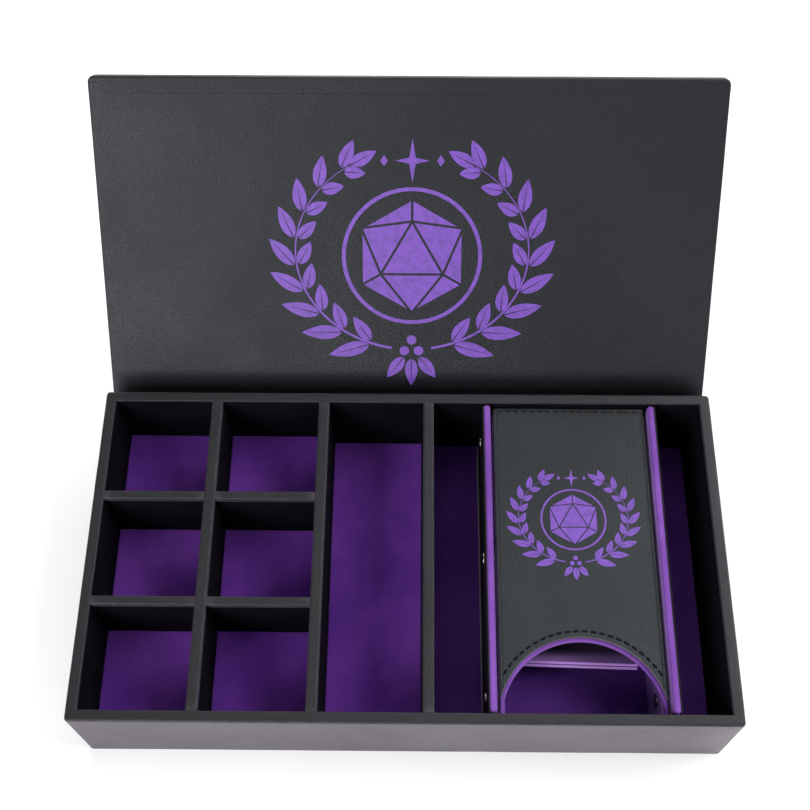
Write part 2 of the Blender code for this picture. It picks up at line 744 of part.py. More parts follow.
def build_inner_wall(name, x, body):
    """One inner wall of the tower, with the ramps' slots, a spare slot and the studs' holes."""
    wall = box_piece(
        name,
        (x, TOWER_FRONT, PANEL_LOW),
        (x + INNER_WALL, TOWER_REAR, INNER_WALL_TOP),
        "bright_velvet",
        parent=body,
    )
    bm = stud_holes(x, INNER_WALL)
    width = INNER_WALL + 2 * CUT_OVERRUN
    middle = x + INNER_WALL / 2
    for _, y, z, slope in ramp_places():
        size = Matrix.Diagonal((width, RAMP_TAB + 2 * GAP, RAMP_THICKNESS + 2 * GAP, 1))
        place = Matrix.Translation((middle, y, z)) @ Matrix.Rotation(slope, 4, "X")
        bmesh.ops.create_cube(bm, size=1, matrix=place @ size)
    spare_y = TOWER_FRONT + SPARE_SLOT_PLACE
    spare_z = PANEL_LOW + SPARE_SLOT_HEIGHT
    fill_box(
        bm,
        (middle - width / 2, spare_y - SPARE_SLOT_LENGTH / 2, spare_z - SPARE_SLOT_WIDTH / 2),
        (middle + width / 2, spare_y + SPARE_SLOT_LENGTH / 2, spare_z + SPARE_SLOT_WIDTH / 2),
    )
    cut(wall, name + "_cuts", bm)
    round_edges(wall, INNER_WALL_EDGE_RADIUS, 1)


def build_outer_panel(name, x, pivot):
    """One outer side panel of the tower, standing on the back panel's edge."""
    panel = box_piece(
        name,
        (x, TOWER_FRONT, PANEL_LOW),
        (x + OUTER_PANEL, TOWER_REAR, PANEL_TOP),
        "bright_velvet",
        origin=tuple(pivot.location),
        parent=pivot,
    )
    round_edges(panel, PANEL_EDGE_RADIUS, 2)
    cut(panel, name + "_holes", stud_holes(x, OUTER_PANEL))


def build_stud_caps(name, x, side, pivot):
    """The domed caps of one outer panel's press studs, each with its post."""
    profile = [(0, -OUTER_PANEL - GAP), (STUD_POST_RADIUS, -OUTER_PANEL - GAP), (STUD_POST_RADIUS, 0)]
    profile += [(STUD_CAP_RADIUS, 0), (STUD_CAP_RADIUS, STUD_CAP_RIM)]
    dome = STUD_CAP_THICKNESS - STUD_CAP_RIM
    for step in range(1, CAP_STEPS):
        turn = math.pi / 2 * step / CAP_STEPS
        profile.append((STUD_CAP_RADIUS * math.cos(turn), STUD_CAP_RIM + dome * math.sin(turn)))
    profile.append((0, STUD_CAP_THICKNESS))
    for place, (y, z) in STUD_PLACES.items():
        bm = bmesh.new()
        fill_turned(bm, profile, sideways(x + side * GAP, y, z, side))
        add_object(f"{name}_{place}", bm, "stud_metal", tuple(pivot.location), pivot, smooth=True)


def build_stud_heads(name, x, side, body):
    """The studs of one inner wall: a flat head inside the tower, and a post through the wall."""
    profile = [(0, -INNER_WALL - GAP), (STUD_POST_RADIUS, -INNER_WALL - GAP), (STUD_POST_RADIUS, 0)]
    profile += [(STUD_HEAD_RADIUS, 0), (STUD_HEAD_RADIUS, STUD_HEAD_THICKNESS / 2)]
    profile += [(STUD_HEAD_RADIUS - STUD_HEAD_THICKNESS / 2, STUD_HEAD_THICKNESS)]
    profile.append((0, STUD_HEAD_THICKNESS))
    for place, (y, z) in STUD_PLACES.items():
        bm = bmesh.new()
        fill_turned(bm, profile, sideways(x - side * GAP, y, z, -side))
        add_object(f"{name}_{place}", bm, "stud_metal", (x, y, z), body, smooth=True)


def build_panel_hinge(name, x, body):
    """The leather strip that joins an outer panel to the back panel's edge."""
    box_piece(
        name,
        (x, TOWER_FRONT + HINGE_STRIP_END_INSET, TOWER_LOW + GAP),
        (x + HINGE_STRIP_THICKNESS, TOWER_REAR - HINGE_STRIP_END_INSET, PANEL_LOW + HINGE_STRIP_RISE),
        "leather",
        parent=body,
    )


def build_tower():
    """The dice tower, lying on its back in the bay with its mouth to the front."""
    body = add_empty("tower_lift_point", (TOWER_MIDDLE, 0, TOWER_LOW))
    box_piece(
        "tower_back",
        (TOWER_LEFT, TOWER_FRONT, TOWER_LOW),
        (TOWER_RIGHT, TOWER_REAR, TOWER_LOW + TOWER_BACK),
        "purple_velvet",
        BACK_EDGE_RADIUS,
        parent=body,
    )
    build_tower_face(body)
    build_ramps(body)
    crease = PANEL_LOW - GAP / 2
    left_pivot = add_empty("left_panel_pivot", (TOWER_LEFT, 0, crease))
    right_pivot = add_empty("right_panel_pivot", (TOWER_RIGHT, 0, crease))
    build_outer_panel("left_outer_panel", TOWER_LEFT, left_pivot)
    build_outer_panel("right_outer_panel", TOWER_RIGHT - OUTER_PANEL, right_pivot)
    build_stud_caps("left_stud_cap", TOWER_LEFT, -1, left_pivot)
    build_stud_caps("right_stud_cap", TOWER_RIGHT, 1, right_pivot)
    build_inner_wall("left_inner_wall", INNER_WALL_LEFT, body)
    build_inner_wall("right_inner_wall", THROAT_RIGHT, body)
    build_stud_heads("left_stud_head", THROAT_LEFT, -1, body)
    build_stud_heads("right_stud_head", THROAT_RIGHT, 1, body)
    build_panel_hinge("left_panel_hinge", TOWER_LEFT - GAP - HINGE_STRIP_THICKNESS, body)
    build_panel_hinge("right_panel_hinge", TOWER_RIGHT + GAP, body)


def build_all():
    """Builds the whole box."""
    clear_scene()
    build_base()
    build_wall_boards()
    build_wall_magnets()
    build_outer_wrap()
    build_inner_lining()
    build_long_dividers()
    build_cross_dividers()
    build_pads()
    lid_pivot = add_empty("lid_pivot", (0, HINGE_Y, HINGE_Z))
    build_lid(lid_pivot)
    build_hinge_strap()
    build_tower()


build_all()
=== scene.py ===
"""Looks of the dice tower box: leather case, open lid and lift-out dice tower.

Metres, +Z up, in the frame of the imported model: the origin is the middle of the case's
underside, +X runs to the right along the front, and +Y runs back to the hinged side.
"""

import logging
import math
from collections.abc import Callable, Iterator, Sequence
from contextlib import contextmanager
from dataclasses import dataclass
from enum import Enum

import bmesh
import bpy
from mathutils import Matrix, Vector


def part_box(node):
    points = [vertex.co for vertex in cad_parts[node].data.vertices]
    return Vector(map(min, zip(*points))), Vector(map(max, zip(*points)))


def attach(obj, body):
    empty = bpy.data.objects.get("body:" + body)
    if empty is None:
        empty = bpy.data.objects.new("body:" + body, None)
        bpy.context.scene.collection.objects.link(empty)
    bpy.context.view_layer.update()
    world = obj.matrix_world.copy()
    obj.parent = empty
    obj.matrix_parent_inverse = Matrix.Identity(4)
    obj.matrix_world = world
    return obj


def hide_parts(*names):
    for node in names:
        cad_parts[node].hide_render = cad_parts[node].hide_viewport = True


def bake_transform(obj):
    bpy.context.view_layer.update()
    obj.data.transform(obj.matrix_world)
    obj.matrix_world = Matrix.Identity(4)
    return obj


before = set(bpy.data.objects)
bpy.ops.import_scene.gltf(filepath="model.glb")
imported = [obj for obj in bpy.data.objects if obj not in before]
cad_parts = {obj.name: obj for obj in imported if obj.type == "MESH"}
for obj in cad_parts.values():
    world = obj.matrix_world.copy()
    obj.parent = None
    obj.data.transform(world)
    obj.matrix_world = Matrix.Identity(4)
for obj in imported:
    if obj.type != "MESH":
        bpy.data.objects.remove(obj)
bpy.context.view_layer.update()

LOG = logging.getLogger("dice_tower_box")
IMAGE_SIZE = 810

Point = tuple[float, float, float]
Color = tuple[float, float, float]
Outline = list[tuple[float, float]]
Test = Callable[[object], bool]
NodeOutputs = bpy.types.bpy_prop_collection

# Places nearer to each other than this count as one.
NEAR = 0.00001
# A normal that comes nearer to its axis than this is square to it.
SQUARE = 0.999
# Edges sharper than these are kept sharp in the shading, or rounded.
SMOOTH_ANGLE = math.radians(38.0)
ROUND_ANGLE = math.radians(30.0)
# How far a normal leans from every axis in the middle of a rounding.
EDGE_REACH = 0.29
# How many strips a rounding is made of.
FEW, SOME, MORE, MANY, MOST = 2, 3, 4, 5, 6
# The pads' simulation: its scale, its length in frames and the pressure in a pad.
CLOTH_SCALE = 10.0
CLOTH_FRAMES = 14
CLOTH_PRESSURE = 4.0


class Axis(Enum):
    """The three directions of the box."""

    X = (1, 0, 0)
    Y = (0, 1, 0)
    Z = (0, 0, 1)

    @property
    def index(self) -> int:
        """The place of this direction in a point."""
        return self.value.index(1)


class Pick(Enum):
    """What a selection in edit mode is made of."""

    VERT = "verts"
    EDGE = "edges"
    FACE = "faces"


class Body(Enum):
    """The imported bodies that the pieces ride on."""

    CASE = "case"
    LID = "lid"
    TOWER = "tower"
    LEFT_PANEL = "left_panel"
    RIGHT_PANEL = "right_panel"


class Slot(Enum):
    """The record's material slots."""

    LEATHER = "leather"
    PURPLE_VELVET = "purple_velvet"
    BRIGHT_VELVET = "bright_velvet"
    DARK_LINING = "dark_lining"
    STUD_METAL = "stud_metal"


# ---------------------------------------------------------------- hand tools


def deselect() -> None:
    """Deselects every object."""
    bpy.ops.object.select_all(action="DESELECT")


def take(piece: bpy.types.Object) -> None:
    """Selects one piece alone and makes it the active one.

    Args:
        piece: the piece to work on.
    """
    deselect()
    piece.select_set(True)
    bpy.context.view_layer.objects.active = piece


@contextmanager
def editing(piece: bpy.types.Object) -> Iterator[None]:
    """Opens a piece in edit mode for as long as the block runs.

    Args:
        piece: the mesh to edit.
    """
    take(piece)
    bpy.ops.object.mode_set(mode="EDIT")
    try:
        yield
    finally:
        bpy.ops.object.mode_set(mode="OBJECT")


def pick(piece: bpy.types.Object, kind: Pick, test: Test) -> None:
    """Selects, in edit mode, what passes a test.

    Args:
        piece: the mesh in edit mode.
        kind: vertices, edges or faces.
        test: tells whether an element is wanted.
    """
    bpy.ops.mesh.select_mode(type=kind.name)
    bpy.ops.mesh.select_all(action="DESELECT")
    mesh = bmesh.from_edit_mesh(piece.data)
    for item in getattr(mesh, kind.value):
        if test(item):
            item.select_set(True)
    mesh.select_flush_mode()
    bmesh.update_edit_mesh(piece.data)


def settle(piece: bpy.types.Object) -> None:
    """Applies a piece's place, turn and size to its mesh."""
    take(piece)
    bpy.ops.object.transform_apply(location=True, rotation=True, scale=True)


def is_level(edge: object, height: float) -> bool:
    """Whether an edge lies at a height."""
    return all(abs(vertex.co.z - height) < NEAR for vertex in edge.verts)


def is_upright(edge: object) -> bool:
    """Whether an edge stands upright."""
    return (edge.verts[0].co.xy - edge.verts[1].co.xy).length < NEAR


def place_by(piece: bpy.types.Object, matrix: Matrix) -> None:
    """Moves a piece by a matrix and settles it there."""
    piece.matrix_world = matrix @ piece.matrix_world
    settle(piece)


def block(name: str, low: Sequence[float], high: Sequence[float]) -> bpy.types.Object:
    """Adds a rectangular block between two corners, to be shaped further.

    Args:
        name: the piece's name.
        low: its lowest corner.
        high: its highest corner.

    Returns:
        The new piece.
    """
    deselect()
    size = Vector(high) - Vector(low)
    middle = (Vector(high) + Vector(low)) / 2
    bpy.ops.mesh.primitive_cube_add(size=1, location=middle, scale=size)
    piece = bpy.context.object
    piece.name = name
    settle(piece)
    return piece


def rod(name: str, radius: float, ends: tuple[Point, Point], sides: int) -> bpy.types.Object:
    """Adds a round rod between two points, to be shaped further.

    Args:
        name: the piece's name.
        radius: its radius.
        ends: its two end points.
        sides: the number of its sides.

    Returns:
        The new piece.
    """
    deselect()
    first, last = Vector(ends[0]), Vector(ends[1])
    turn = (last - first).to_track_quat("Z", "Y").to_euler()
    bpy.ops.mesh.primitive_cylinder_add(
        vertices=sides,
        radius=radius,
        depth=(last - first).length,
        location=(first + last) / 2,
        rotation=turn,
    )
    piece = bpy.context.object
    piece.name = name
    settle(piece)
    return piece


def apply_modifier(piece: bpy.types.Object, kind: str, **settings: object) -> None:
    """Adds a modifier to a piece and applies it.

    Args:
        piece: the piece to change.
        kind: the modifier's type.
        **settings: the modifier's values.
    """
    take(piece)
    modifier = piece.modifiers.new(kind.title(), kind)
    for name, value in settings.items():
        setattr(modifier, name, value)
    bpy.ops.object.modifier_apply(modifier=modifier.name)


def round_edges(piece: bpy.types.Object, width: float, segments: int = SOME) -> None:
    """Rounds every sharp edge of a piece.

    Args:
        piece: the piece to round.
        width: the size of the rounding.
        segments: the number of its strips.
    """
    apply_modifier(
        piece,
        "BEVEL",
        width=width,
        segments=segments,
        limit_method="ANGLE",
        angle_limit=ROUND_ANGLE,
    )


def bevel_picked(width: float, segments: int) -> None:
    """Rounds the edges selected in edit mode, in strips."""
    bpy.ops.mesh.bevel(offset=width, segments=segments, profile=0.5, affect="EDGES")


def carve(piece: bpy.types.Object, cutter: bpy.types.Object) -> None:
    """Cuts one piece out of another and removes the cutter."""
    apply_modifier(piece, "BOOLEAN", object=cutter, operation="DIFFERENCE", solver="EXACT")
    bpy.data.objects.remove(cutter, do_unlink=True)


def span(piece: bpy.types.Object, axis: Axis) -> tuple[float, float]:
    """A piece's lowest and highest place along an axis."""
    places = [vertex.co[axis.index] for vertex in piece.data.vertices]
    return min(places), max(places)


def cut_across(axis: Axis, place: float) -> None:
    """Cuts the piece in edit mode along a plane that crosses the axis at a place."""
    bpy.ops.mesh.select_all(action="SELECT")
    bpy.ops.mesh.bisect(plane_co=[place * part for part in axis.value], plane_no=axis.value)


def divide(piece: bpy.types.Object, step: float, *axes: Axis) -> None:
    """Cuts a piece's faces into strips, so that it can bend or ripple.

    Args:
        piece: the piece to cut.
        step: the rough width of a strip.
        *axes: the directions along which strips follow each other.
    """
    for axis in axes:
        low, high = span(piece, axis)
        count = max(2, round((high - low) / step))
        with editing(piece):
            for number in range(1, count):
                cut_across(axis, low + (high - low) * number / count)


def ripple(piece: bpy.types.Object, height: float, length: float, seed: float = 0.0) -> None:
    """Gives a piece the soft unevenness of leather or cloth glued on board.

    Args:
        piece: the piece to change.
        height: the whole height of the waves.
        length: their rough length.
        seed: how far the pattern is shifted, so that pieces differ.
    """
    texture = bpy.data.textures.new(piece.name + "_ripple", "CLOUDS")
    texture.noise_scale = length
    texture.noise_depth = 1
    piece.data.transform(Matrix.Translation((seed, seed, seed)))
    apply_modifier(
        piece,
        "DISPLACE",
        texture=texture,
        texture_coords="LOCAL",
        direction="NORMAL",
        strength=height,
        mid_level=0.5,
    )
    piece.data.transform(Matrix.Translation((-seed, -seed, -seed)))


def smooth(piece: bpy.types.Object) -> None:
    """Shades a piece smoothly, with its flat faces kept flat.

    Args:
        piece: the piece to shade.
    """
    take(piece)
    bpy.ops.object.shade_smooth_by_angle(angle=SMOOTH_ANGLE)
    apply_modifier(piece, "WEIGHTED_NORMAL", keep_sharp=True, weight=60)


def mark_edges(piece: bpy.types.Object) -> None:
    """Stores how near each point is to a rounded edge, for the wear in the finish.

    The piece is still square to the axes here, so a point whose normal leans away from every
    axis lies on a rounding.

    Args:
        piece: the piece to mark.
    """
    values = [
        min(1.0, (1 - max(abs(part) for part in vertex.normal)) / EDGE_REACH)
        for vertex in piece.data.vertices
    ]
    attribute = piece.data.attributes.new("edge", "FLOAT", "POINT")
    attribute.data.foreach_set("value", values)


def join(name: str, pieces: Sequence[bpy.types.Object]) -> bpy.types.Object:
    """Joins pieces into one.

    Args:
        name: the name of the joined piece.
        pieces: what is joined.

    Returns:
        The joined piece.
    """
    take(pieces[0])
    for piece in pieces:
        piece.select_set(True)
    bpy.ops.object.join()
    pieces[0].name = name
    return pieces[0]


def copy_piece(piece: bpy.types.Object, name: str, matrix: Matrix) -> bpy.types.Object:
    """Copies a piece with its own mesh and moves the copy.

    Args:
        piece: what is copied.
        name: the copy's name.
        matrix: the move, in the frame of the box.

    Returns:
        The copy.
    """
    made = piece.copy()
    made.data = piece.data.copy()
    made.name = name
    bpy.context.collection.objects.link(made)
    made.data.transform(matrix)
    return made


def flat_shape(
    name: str, outlines: Sequence[Outline], thickness: float, closed: bool = True
) -> bpy.types.Object:
    """Fills flat outlines in the X-Y plane, or draws bands along open ones, and gives them height.

    Args:
        name: the piece's name.
        outlines: corners of each outline.
        thickness: the height, half to each side of the plane.
        closed: whether the outlines are closed and filled.

    Returns:
        The new piece, a mesh.
    """
    curve = bpy.data.curves.new(name, "CURVE")
    curve.dimensions = "2D"
    curve.fill_mode = "BOTH" if closed else "NONE"
    curve.extrude = thickness / 2
    for outline in outlines:
        spline = curve.splines.new("POLY")
        spline.points.add(len(outline) - 1)
        for point, (x, y) in zip(spline.points, outline):
            point.co = (x, y, 0, 1)
        spline.use_cyclic_u = closed
    piece = bpy.data.objects.new(name, curve)
    bpy.context.collection.objects.link(piece)
    take(piece)
    bpy.ops.object.convert(target="MESH")
    piece = bpy.context.object
    with editing(piece):
        bpy.ops.mesh.select_all(action="SELECT")
        bpy.ops.mesh.remove_doubles(threshold=NEAR)
        bpy.ops.mesh.normals_make_consistent(inside=False)
    return piece


def inflate(piece: bpy.types.Object, crown: float, held: Callable[[Vector], bool]) -> None:
    """Swells a pad by a cloth simulation with pressure inside it.

    The pad is simulated at a larger scale, and its movement is then brought to the crown.

    Args:
        piece: the closed pad.
        crown: how far the highest point rises.
        held: tells which points stay in place.
    """
    before = [vertex.co.copy() for vertex in piece.data.vertices]
    group = piece.vertex_groups.new(name="held")
    group.add([n for n, place in enumerate(before) if held(place)], 1.0, "REPLACE")
    place_by(piece, Matrix.Scale(CLOTH_SCALE, 4))
    cloth = piece.modifiers.new("Cloth", "CLOTH")
    cloth.settings.vertex_group_mass = group.name
    cloth.settings.use_pressure = True
    cloth.settings.uniform_pressure_force = CLOTH_PRESSURE
    cloth.settings.effector_weights.gravity = 0
    cloth.collision_settings.use_collision = False
    cloth.point_cache.frame_start = 1
    cloth.point_cache.frame_end = CLOTH_FRAMES
    for number in range(1, CLOTH_FRAMES + 1):
        bpy.context.scene.frame_set(number)
    take(piece)
    bpy.ops.object.modifier_apply(modifier=cloth.name)
    moves = [v.co / CLOTH_SCALE - old for v, old in zip(piece.data.vertices, before)]
    share = crown / max(max(move.length for move in moves), NEAR)
    for vertex, old, move in zip(piece.data.vertices, before, moves):
        vertex.co = old + move * share
    piece.vertex_groups.clear()
    bpy.context.scene.frame_set(1)


# ---------------------------------------------------------------- finishes


@dataclass(frozen=True)
class Noise:
    """Soft noise: its waves in a metre, its finer layers, and how strong these are."""

    scale: float
    detail: float = 2.0
    roughness: float = 0.5


GRAIN_SCALE = 950.0
PEBBLE_WARP = Noise(420.0, 1.0)
PEBBLE_SHIFT = 0.0009
PEBBLE_SLOPE = (0.0, 0.22)
PORES = Noise(2600.0)
PORE_SHARE = 0.22
HIDE_TONE = Noise(14.0, 3.0, 0.55)
HIDE_RANGE = (0.3, 0.7)
WORN_PATCHES = Noise(160.0, 4.0, 0.65)
WORN_RANGE = (0.36, 0.66, 0.25, 1.0)
WEAR_RANGE = (0.05, 0.8)
NAP_PATCHES = Noise(16.0)
NAP_STROKES = Noise(75.0, 3.0, 0.6)
NAP_PILE = Noise(1500.0, 2.0, 0.7)
PATCH_SHARE, STROKE_SHARE, PILE_SHARE = 0.75, 0.45, 0.25
NAP_RANGE = (0.45, 1.0)
LINT_SCALE = 130.0
LINT_SIZE = (0.035, 0.02)
LINT_RARITY = 0.93


class Graph:
    """A node tree with short ways to add and join nodes."""

    def __init__(self, tree: bpy.types.NodeTree) -> None:
        """Keeps the tree that the nodes go into."""
        self.tree = tree

    def feed(self, node: bpy.types.Node, inputs: dict) -> None:
        """Gives a node its inputs: sockets are linked, and plain values are set.

        Args:
            node: the node.
            inputs: values or sockets, by the input's name or number.
        """
        for key, value in inputs.items():
            if isinstance(value, bpy.types.NodeSocket):
                self.tree.links.new(value, node.inputs[key])
            else:
                node.inputs[key].default_value = value

    def add(self, kind: str, inputs: dict | None = None, **settings: object) -> bpy.types.Node:
        """Adds a node.

        Args:
            kind: the node's type.
            inputs: values or sockets for its inputs, by name or number.
            **settings: the node's own settings.

        Returns:
            The new node.
        """
        node = self.tree.nodes.new(kind)
        for name, value in settings.items():
            setattr(node, name, value)
        self.feed(node, inputs or {})
        return node

    def group(self, build: Callable[[], bpy.types.NodeTree], inputs: dict) -> NodeOutputs:
        """Places the group that a function of the same name builds, and gives its outputs."""
        tree = bpy.data.node_groups.get(build.__name__) or build()
        return self.add("ShaderNodeGroup", inputs, node_tree=tree).outputs

    def calculate(self, operation: str, *values: object) -> bpy.types.NodeSocket:
        """The result of a math operation on one or more values."""
        node = self.add("ShaderNodeMath", dict(enumerate(values)), operation=operation)
        return node.outputs[0]

    def scale_to(
        self, value: object, low: float, high: float, to_low: float = 0.0, to_high: float = 1.0
    ) -> bpy.types.NodeSocket:
        """Maps a value softly from the range low to high onto another range."""
        inputs = dict(enumerate((value, low, high, to_low, to_high)))
        return self.add("ShaderNodeMapRange", inputs, interpolation_type="SMOOTHSTEP").outputs[0]

    def blend_colors(self, share: object, first: object, second: object) -> bpy.types.NodeSocket:
        """Mixes a share of the second colour or socket into the first one."""
        inputs = {0: share, 6: opaque(first), 7: opaque(second)}
        return self.add("ShaderNodeMix", inputs, data_type="RGBA").outputs[2]

    def noise(self, vector: object, noise: Noise, output: int = 0) -> bpy.types.NodeSocket:
        """Soft noise from 0 to 1 as a number, or as a colour where the output is 1."""
        inputs = {"Vector": vector, **{key.title(): value for key, value in vars(noise).items()}}
        return self.add("ShaderNodeTexNoise", inputs).outputs[output]


class Coat(Graph):
    """A material's graph, with its shader and the place on the piece that patterns read."""

    def __init__(self, name: str) -> None:
        """Starts the material.

        Args:
            name: the material's name.
        """
        self.material = bpy.data.materials.new(name)
        self.material.use_nodes = True
        super().__init__(self.material.node_tree)
        self.shader = self.tree.nodes["Principled BSDF"]
        self.place = self.add("ShaderNodeTexCoord").outputs["Object"]

    def edge(self) -> bpy.types.NodeSocket:
        """How near each point is to an edge, as stored on the piece."""
        return self.add("ShaderNodeAttribute", attribute_name="edge").outputs["Fac"]

    def raise_surface(self, height: bpy.types.NodeSocket, distance: float, strength: float) -> None:
        """Raises the surface by a height, where 1 stands for the distance."""
        inputs = {"Strength": strength, "Distance": distance, "Height": height}
        self.feed(self.shader, {"Normal": self.add("ShaderNodeBump", inputs).outputs[0]})


def opaque(color: object) -> object:
    """A colour with its fourth part, or the socket as it is."""
    return (*color, 1.0) if isinstance(color, tuple) else color


def new_group(
    name: str, inputs: Sequence[str], outputs: Sequence[str]
) -> tuple[Graph, NodeOutputs, bpy.types.Node]:
    """Starts a shader node group. The input Vector is a vector, and all else are numbers.

    Args:
        name: the group's name.
        inputs: the names of its inputs.
        outputs: the names of its outputs.

    Returns:
        Its graph, its inputs as sockets inside it, and the node that its outputs go into.
    """
    tree = bpy.data.node_groups.new(name, "ShaderNodeTree")
    for label in inputs:
        kind = "NodeSocketVector" if label == "Vector" else "NodeSocketFloat"
        tree.interface.new_socket(name=label, in_out="INPUT", socket_type=kind)
    for label in outputs:
        tree.interface.new_socket(name=label, in_out="OUTPUT", socket_type="NodeSocketFloat")
    graph = Graph(tree)
    return graph, graph.add("NodeGroupInput").outputs, graph.add("NodeGroupOutput")


def leather_grain() -> bpy.types.NodeTree:
    """Builds the pebbled grain of pressed leather: height, creases between pebbles, and tone.

    Returns:
        The group.
    """
    labels = ("Vector", "Scale"), ("Height", "Crease", "Tone")
    graph, given, taken = new_group("leather_grain", *labels)
    vector = given["Vector"]
    shift = {0: graph.noise(vector, PEBBLE_WARP, 1), 1: (PEBBLE_SHIFT,) * 3, 2: vector}
    bent = graph.add("ShaderNodeVectorMath", shift, operation="MULTIPLY_ADD").outputs[0]
    inputs = {"Vector": bent, "Scale": given["Scale"]}
    cells = graph.add("ShaderNodeTexVoronoi", inputs, feature="DISTANCE_TO_EDGE")
    pebble = graph.scale_to(cells.outputs[0], *PEBBLE_SLOPE)
    pores = graph.noise(vector, PORES)
    made = {
        "Height": graph.calculate("MULTIPLY_ADD", pores, PORE_SHARE, pebble),
        "Crease": graph.calculate("SUBTRACT", 1.0, pebble),
        "Tone": graph.scale_to(graph.noise(vector, HIDE_TONE), *HIDE_RANGE),
    }
    graph.feed(taken, made)
    return graph.tree


def edge_wear() -> bpy.types.NodeTree:
    """Builds the broken wear along rounded edges, as a mask.

    Returns:
        The group.
    """
    graph, given, taken = new_group("edge_wear", ("Edge", "Vector"), ("Mask",))
    patches = graph.scale_to(graph.noise(given["Vector"], WORN_PATCHES), *WORN_RANGE)
    worn = graph.calculate("MULTIPLY", patches, given["Edge"])
    graph.feed(taken, {"Mask": graph.scale_to(worn, *WEAR_RANGE)})
    return graph.tree


def velvet_nap() -> bpy.types.NodeTree:
    """Builds the nap of velvet, laid in strokes: soft patches of tone, fine height, and specks of
    lint.

    Returns:
        The group.
    """
    graph, given, taken = new_group("velvet_nap", ("Vector",), ("Tone", "Height", "Fleck"))
    vector = given["Vector"]
    patches = graph.noise(vector, NAP_PATCHES)
    strokes = graph.noise(vector, NAP_STROKES)
    pile = graph.noise(vector, NAP_PILE)
    tone = graph.calculate("MULTIPLY", patches, PATCH_SHARE)
    tone = graph.calculate("MULTIPLY_ADD", strokes, STROKE_SHARE, tone)
    tone = graph.calculate("MULTIPLY_ADD", pile, PILE_SHARE, tone)
    inputs = {"Vector": vector, "Scale": LINT_SCALE}
    specks = graph.add("ShaderNodeTexVoronoi", inputs, feature="F1").outputs
    apart = graph.add("ShaderNodeSeparateColor", {0: specks["Color"]})
    near = graph.scale_to(specks["Distance"], *LINT_SIZE)
    chosen = graph.calculate("GREATER_THAN", apart.outputs[0], LINT_RARITY)
    made = {
        "Tone": graph.scale_to(tone, *NAP_RANGE),
        "Height": graph.calculate("MULTIPLY_ADD", strokes, 0.5, pile),
        "Fleck": graph.calculate("MULTIPLY", near, chosen),
    }
    graph.feed(taken, made)
    return graph.tree


@dataclass(frozen=True)
class Finish:
    """A finish of the box, painted by its subclass."""

    name: str

    def material(self) -> bpy.types.Material:
        """Finds the finish's material, or makes it on its first use.

        Returns:
            The material.
        """
        found = bpy.data.materials.get(self.name)
        if found:
            return found
        coat = Coat(self.name)
        self.paint(coat)
        return coat.material

    def paint(self, coat: Coat) -> None:
        """Builds the finish in a new material."""
        raise NotImplementedError


@dataclass(frozen=True)
class Leather(Finish):
    """Black leather with a pressed grain and paler, drier edges."""

    dark: Color
    light: Color
    worn: Color
    roughness: float
    scale: float = GRAIN_SCALE
    depth: float = 0.00010
    strength: float = 0.65
    specular: float = 0.5
    gleam: Color = (1.0, 1.0, 1.0)
    sheen: float = 0.0
    sheen_tint: Color = (1.0, 1.0, 1.0)
    crease_color: Color = (0.002, 0.002, 0.002)
    crease_share: float = 0.45
    crease_rough: float = 0.16
    tone_rough: float = -0.09
    sheen_rough: float = 0.4

    def paint(self, coat: Coat) -> None:
        """Paints the grain, its creases and the dry edges.

        Args:
            coat: the new material.
        """
        grain = coat.group(leather_grain, {"Vector": coat.place, "Scale": self.scale})
        wear = coat.group(edge_wear, {"Edge": coat.edge(), "Vector": coat.place})
        hide = coat.blend_colors(grain["Tone"], self.dark, self.light)
        crease = coat.calculate("MULTIPLY", grain["Crease"], self.crease_share)
        creased = coat.blend_colors(crease, hide, self.crease_color)
        values = grain["Crease"], self.crease_rough, self.roughness
        rough = coat.calculate("MULTIPLY_ADD", *values)
        inputs = {
            "Base Color": coat.blend_colors(wear["Mask"], creased, self.worn),
            "Roughness": coat.calculate("MULTIPLY_ADD", grain["Tone"], self.tone_rough, rough),
            "Specular IOR Level": self.specular,
            "Specular Tint": opaque(self.gleam),
            "Sheen Weight": self.sheen,
            "Sheen Roughness": self.sheen_rough,
            "Sheen Tint": opaque(self.sheen_tint),
        }
        coat.feed(coat.shader, inputs)
        coat.raise_surface(grain["Height"], self.depth, self.strength)


@dataclass(frozen=True)
class Velvet(Finish):
    """Short-piled velvet with a nap laid in strokes, and painted light along a marked edge where a
    lit colour is given.
    """

    dark: Color
    light: Color
    sheen: float = 0.5
    tint: Color = (0.75, 0.55, 1.0)
    # Colour of the painted light along a marked edge, and the part of the edge mark over which it
    # is blended in.
    brushed: Color | None = None
    brushed_range: tuple[float, float] = (0.1, 0.75)
    lint: Color = (0.45, 0.36, 0.6)
    roughness: float = 0.9
    specular: float = 0.15
    sheen_rough: float = 0.35
    depth: float = 0.0001
    strength: float = 0.6

    def paint(self, coat: Coat) -> None:
        """Paints the nap, its lint, and the band of painted light along a marked edge.

        Args:
            coat: the new material.
        """
        nap = coat.group(velvet_nap, {"Vector": coat.place})
        pile = coat.blend_colors(nap["Tone"], self.dark, self.light)
        # Painted light: a lighter colour is blended in along the edge that the piece marks, as
        # light falling on that edge.
        if self.brushed:
            share = coat.scale_to(coat.edge(), *self.brushed_range)
            pile = coat.blend_colors(share, pile, self.brushed)
        inputs = {
            "Base Color": coat.blend_colors(nap["Fleck"], pile, self.lint),
            "Roughness": self.roughness,
            "Specular IOR Level": self.specular,
            "Sheen Weight": self.sheen,
            "Sheen Roughness": self.sheen_rough,
            "Sheen Tint": opaque(self.tint),
        }
        coat.feed(coat.shader, inputs)
        coat.raise_surface(nap["Height"], self.depth, self.strength)


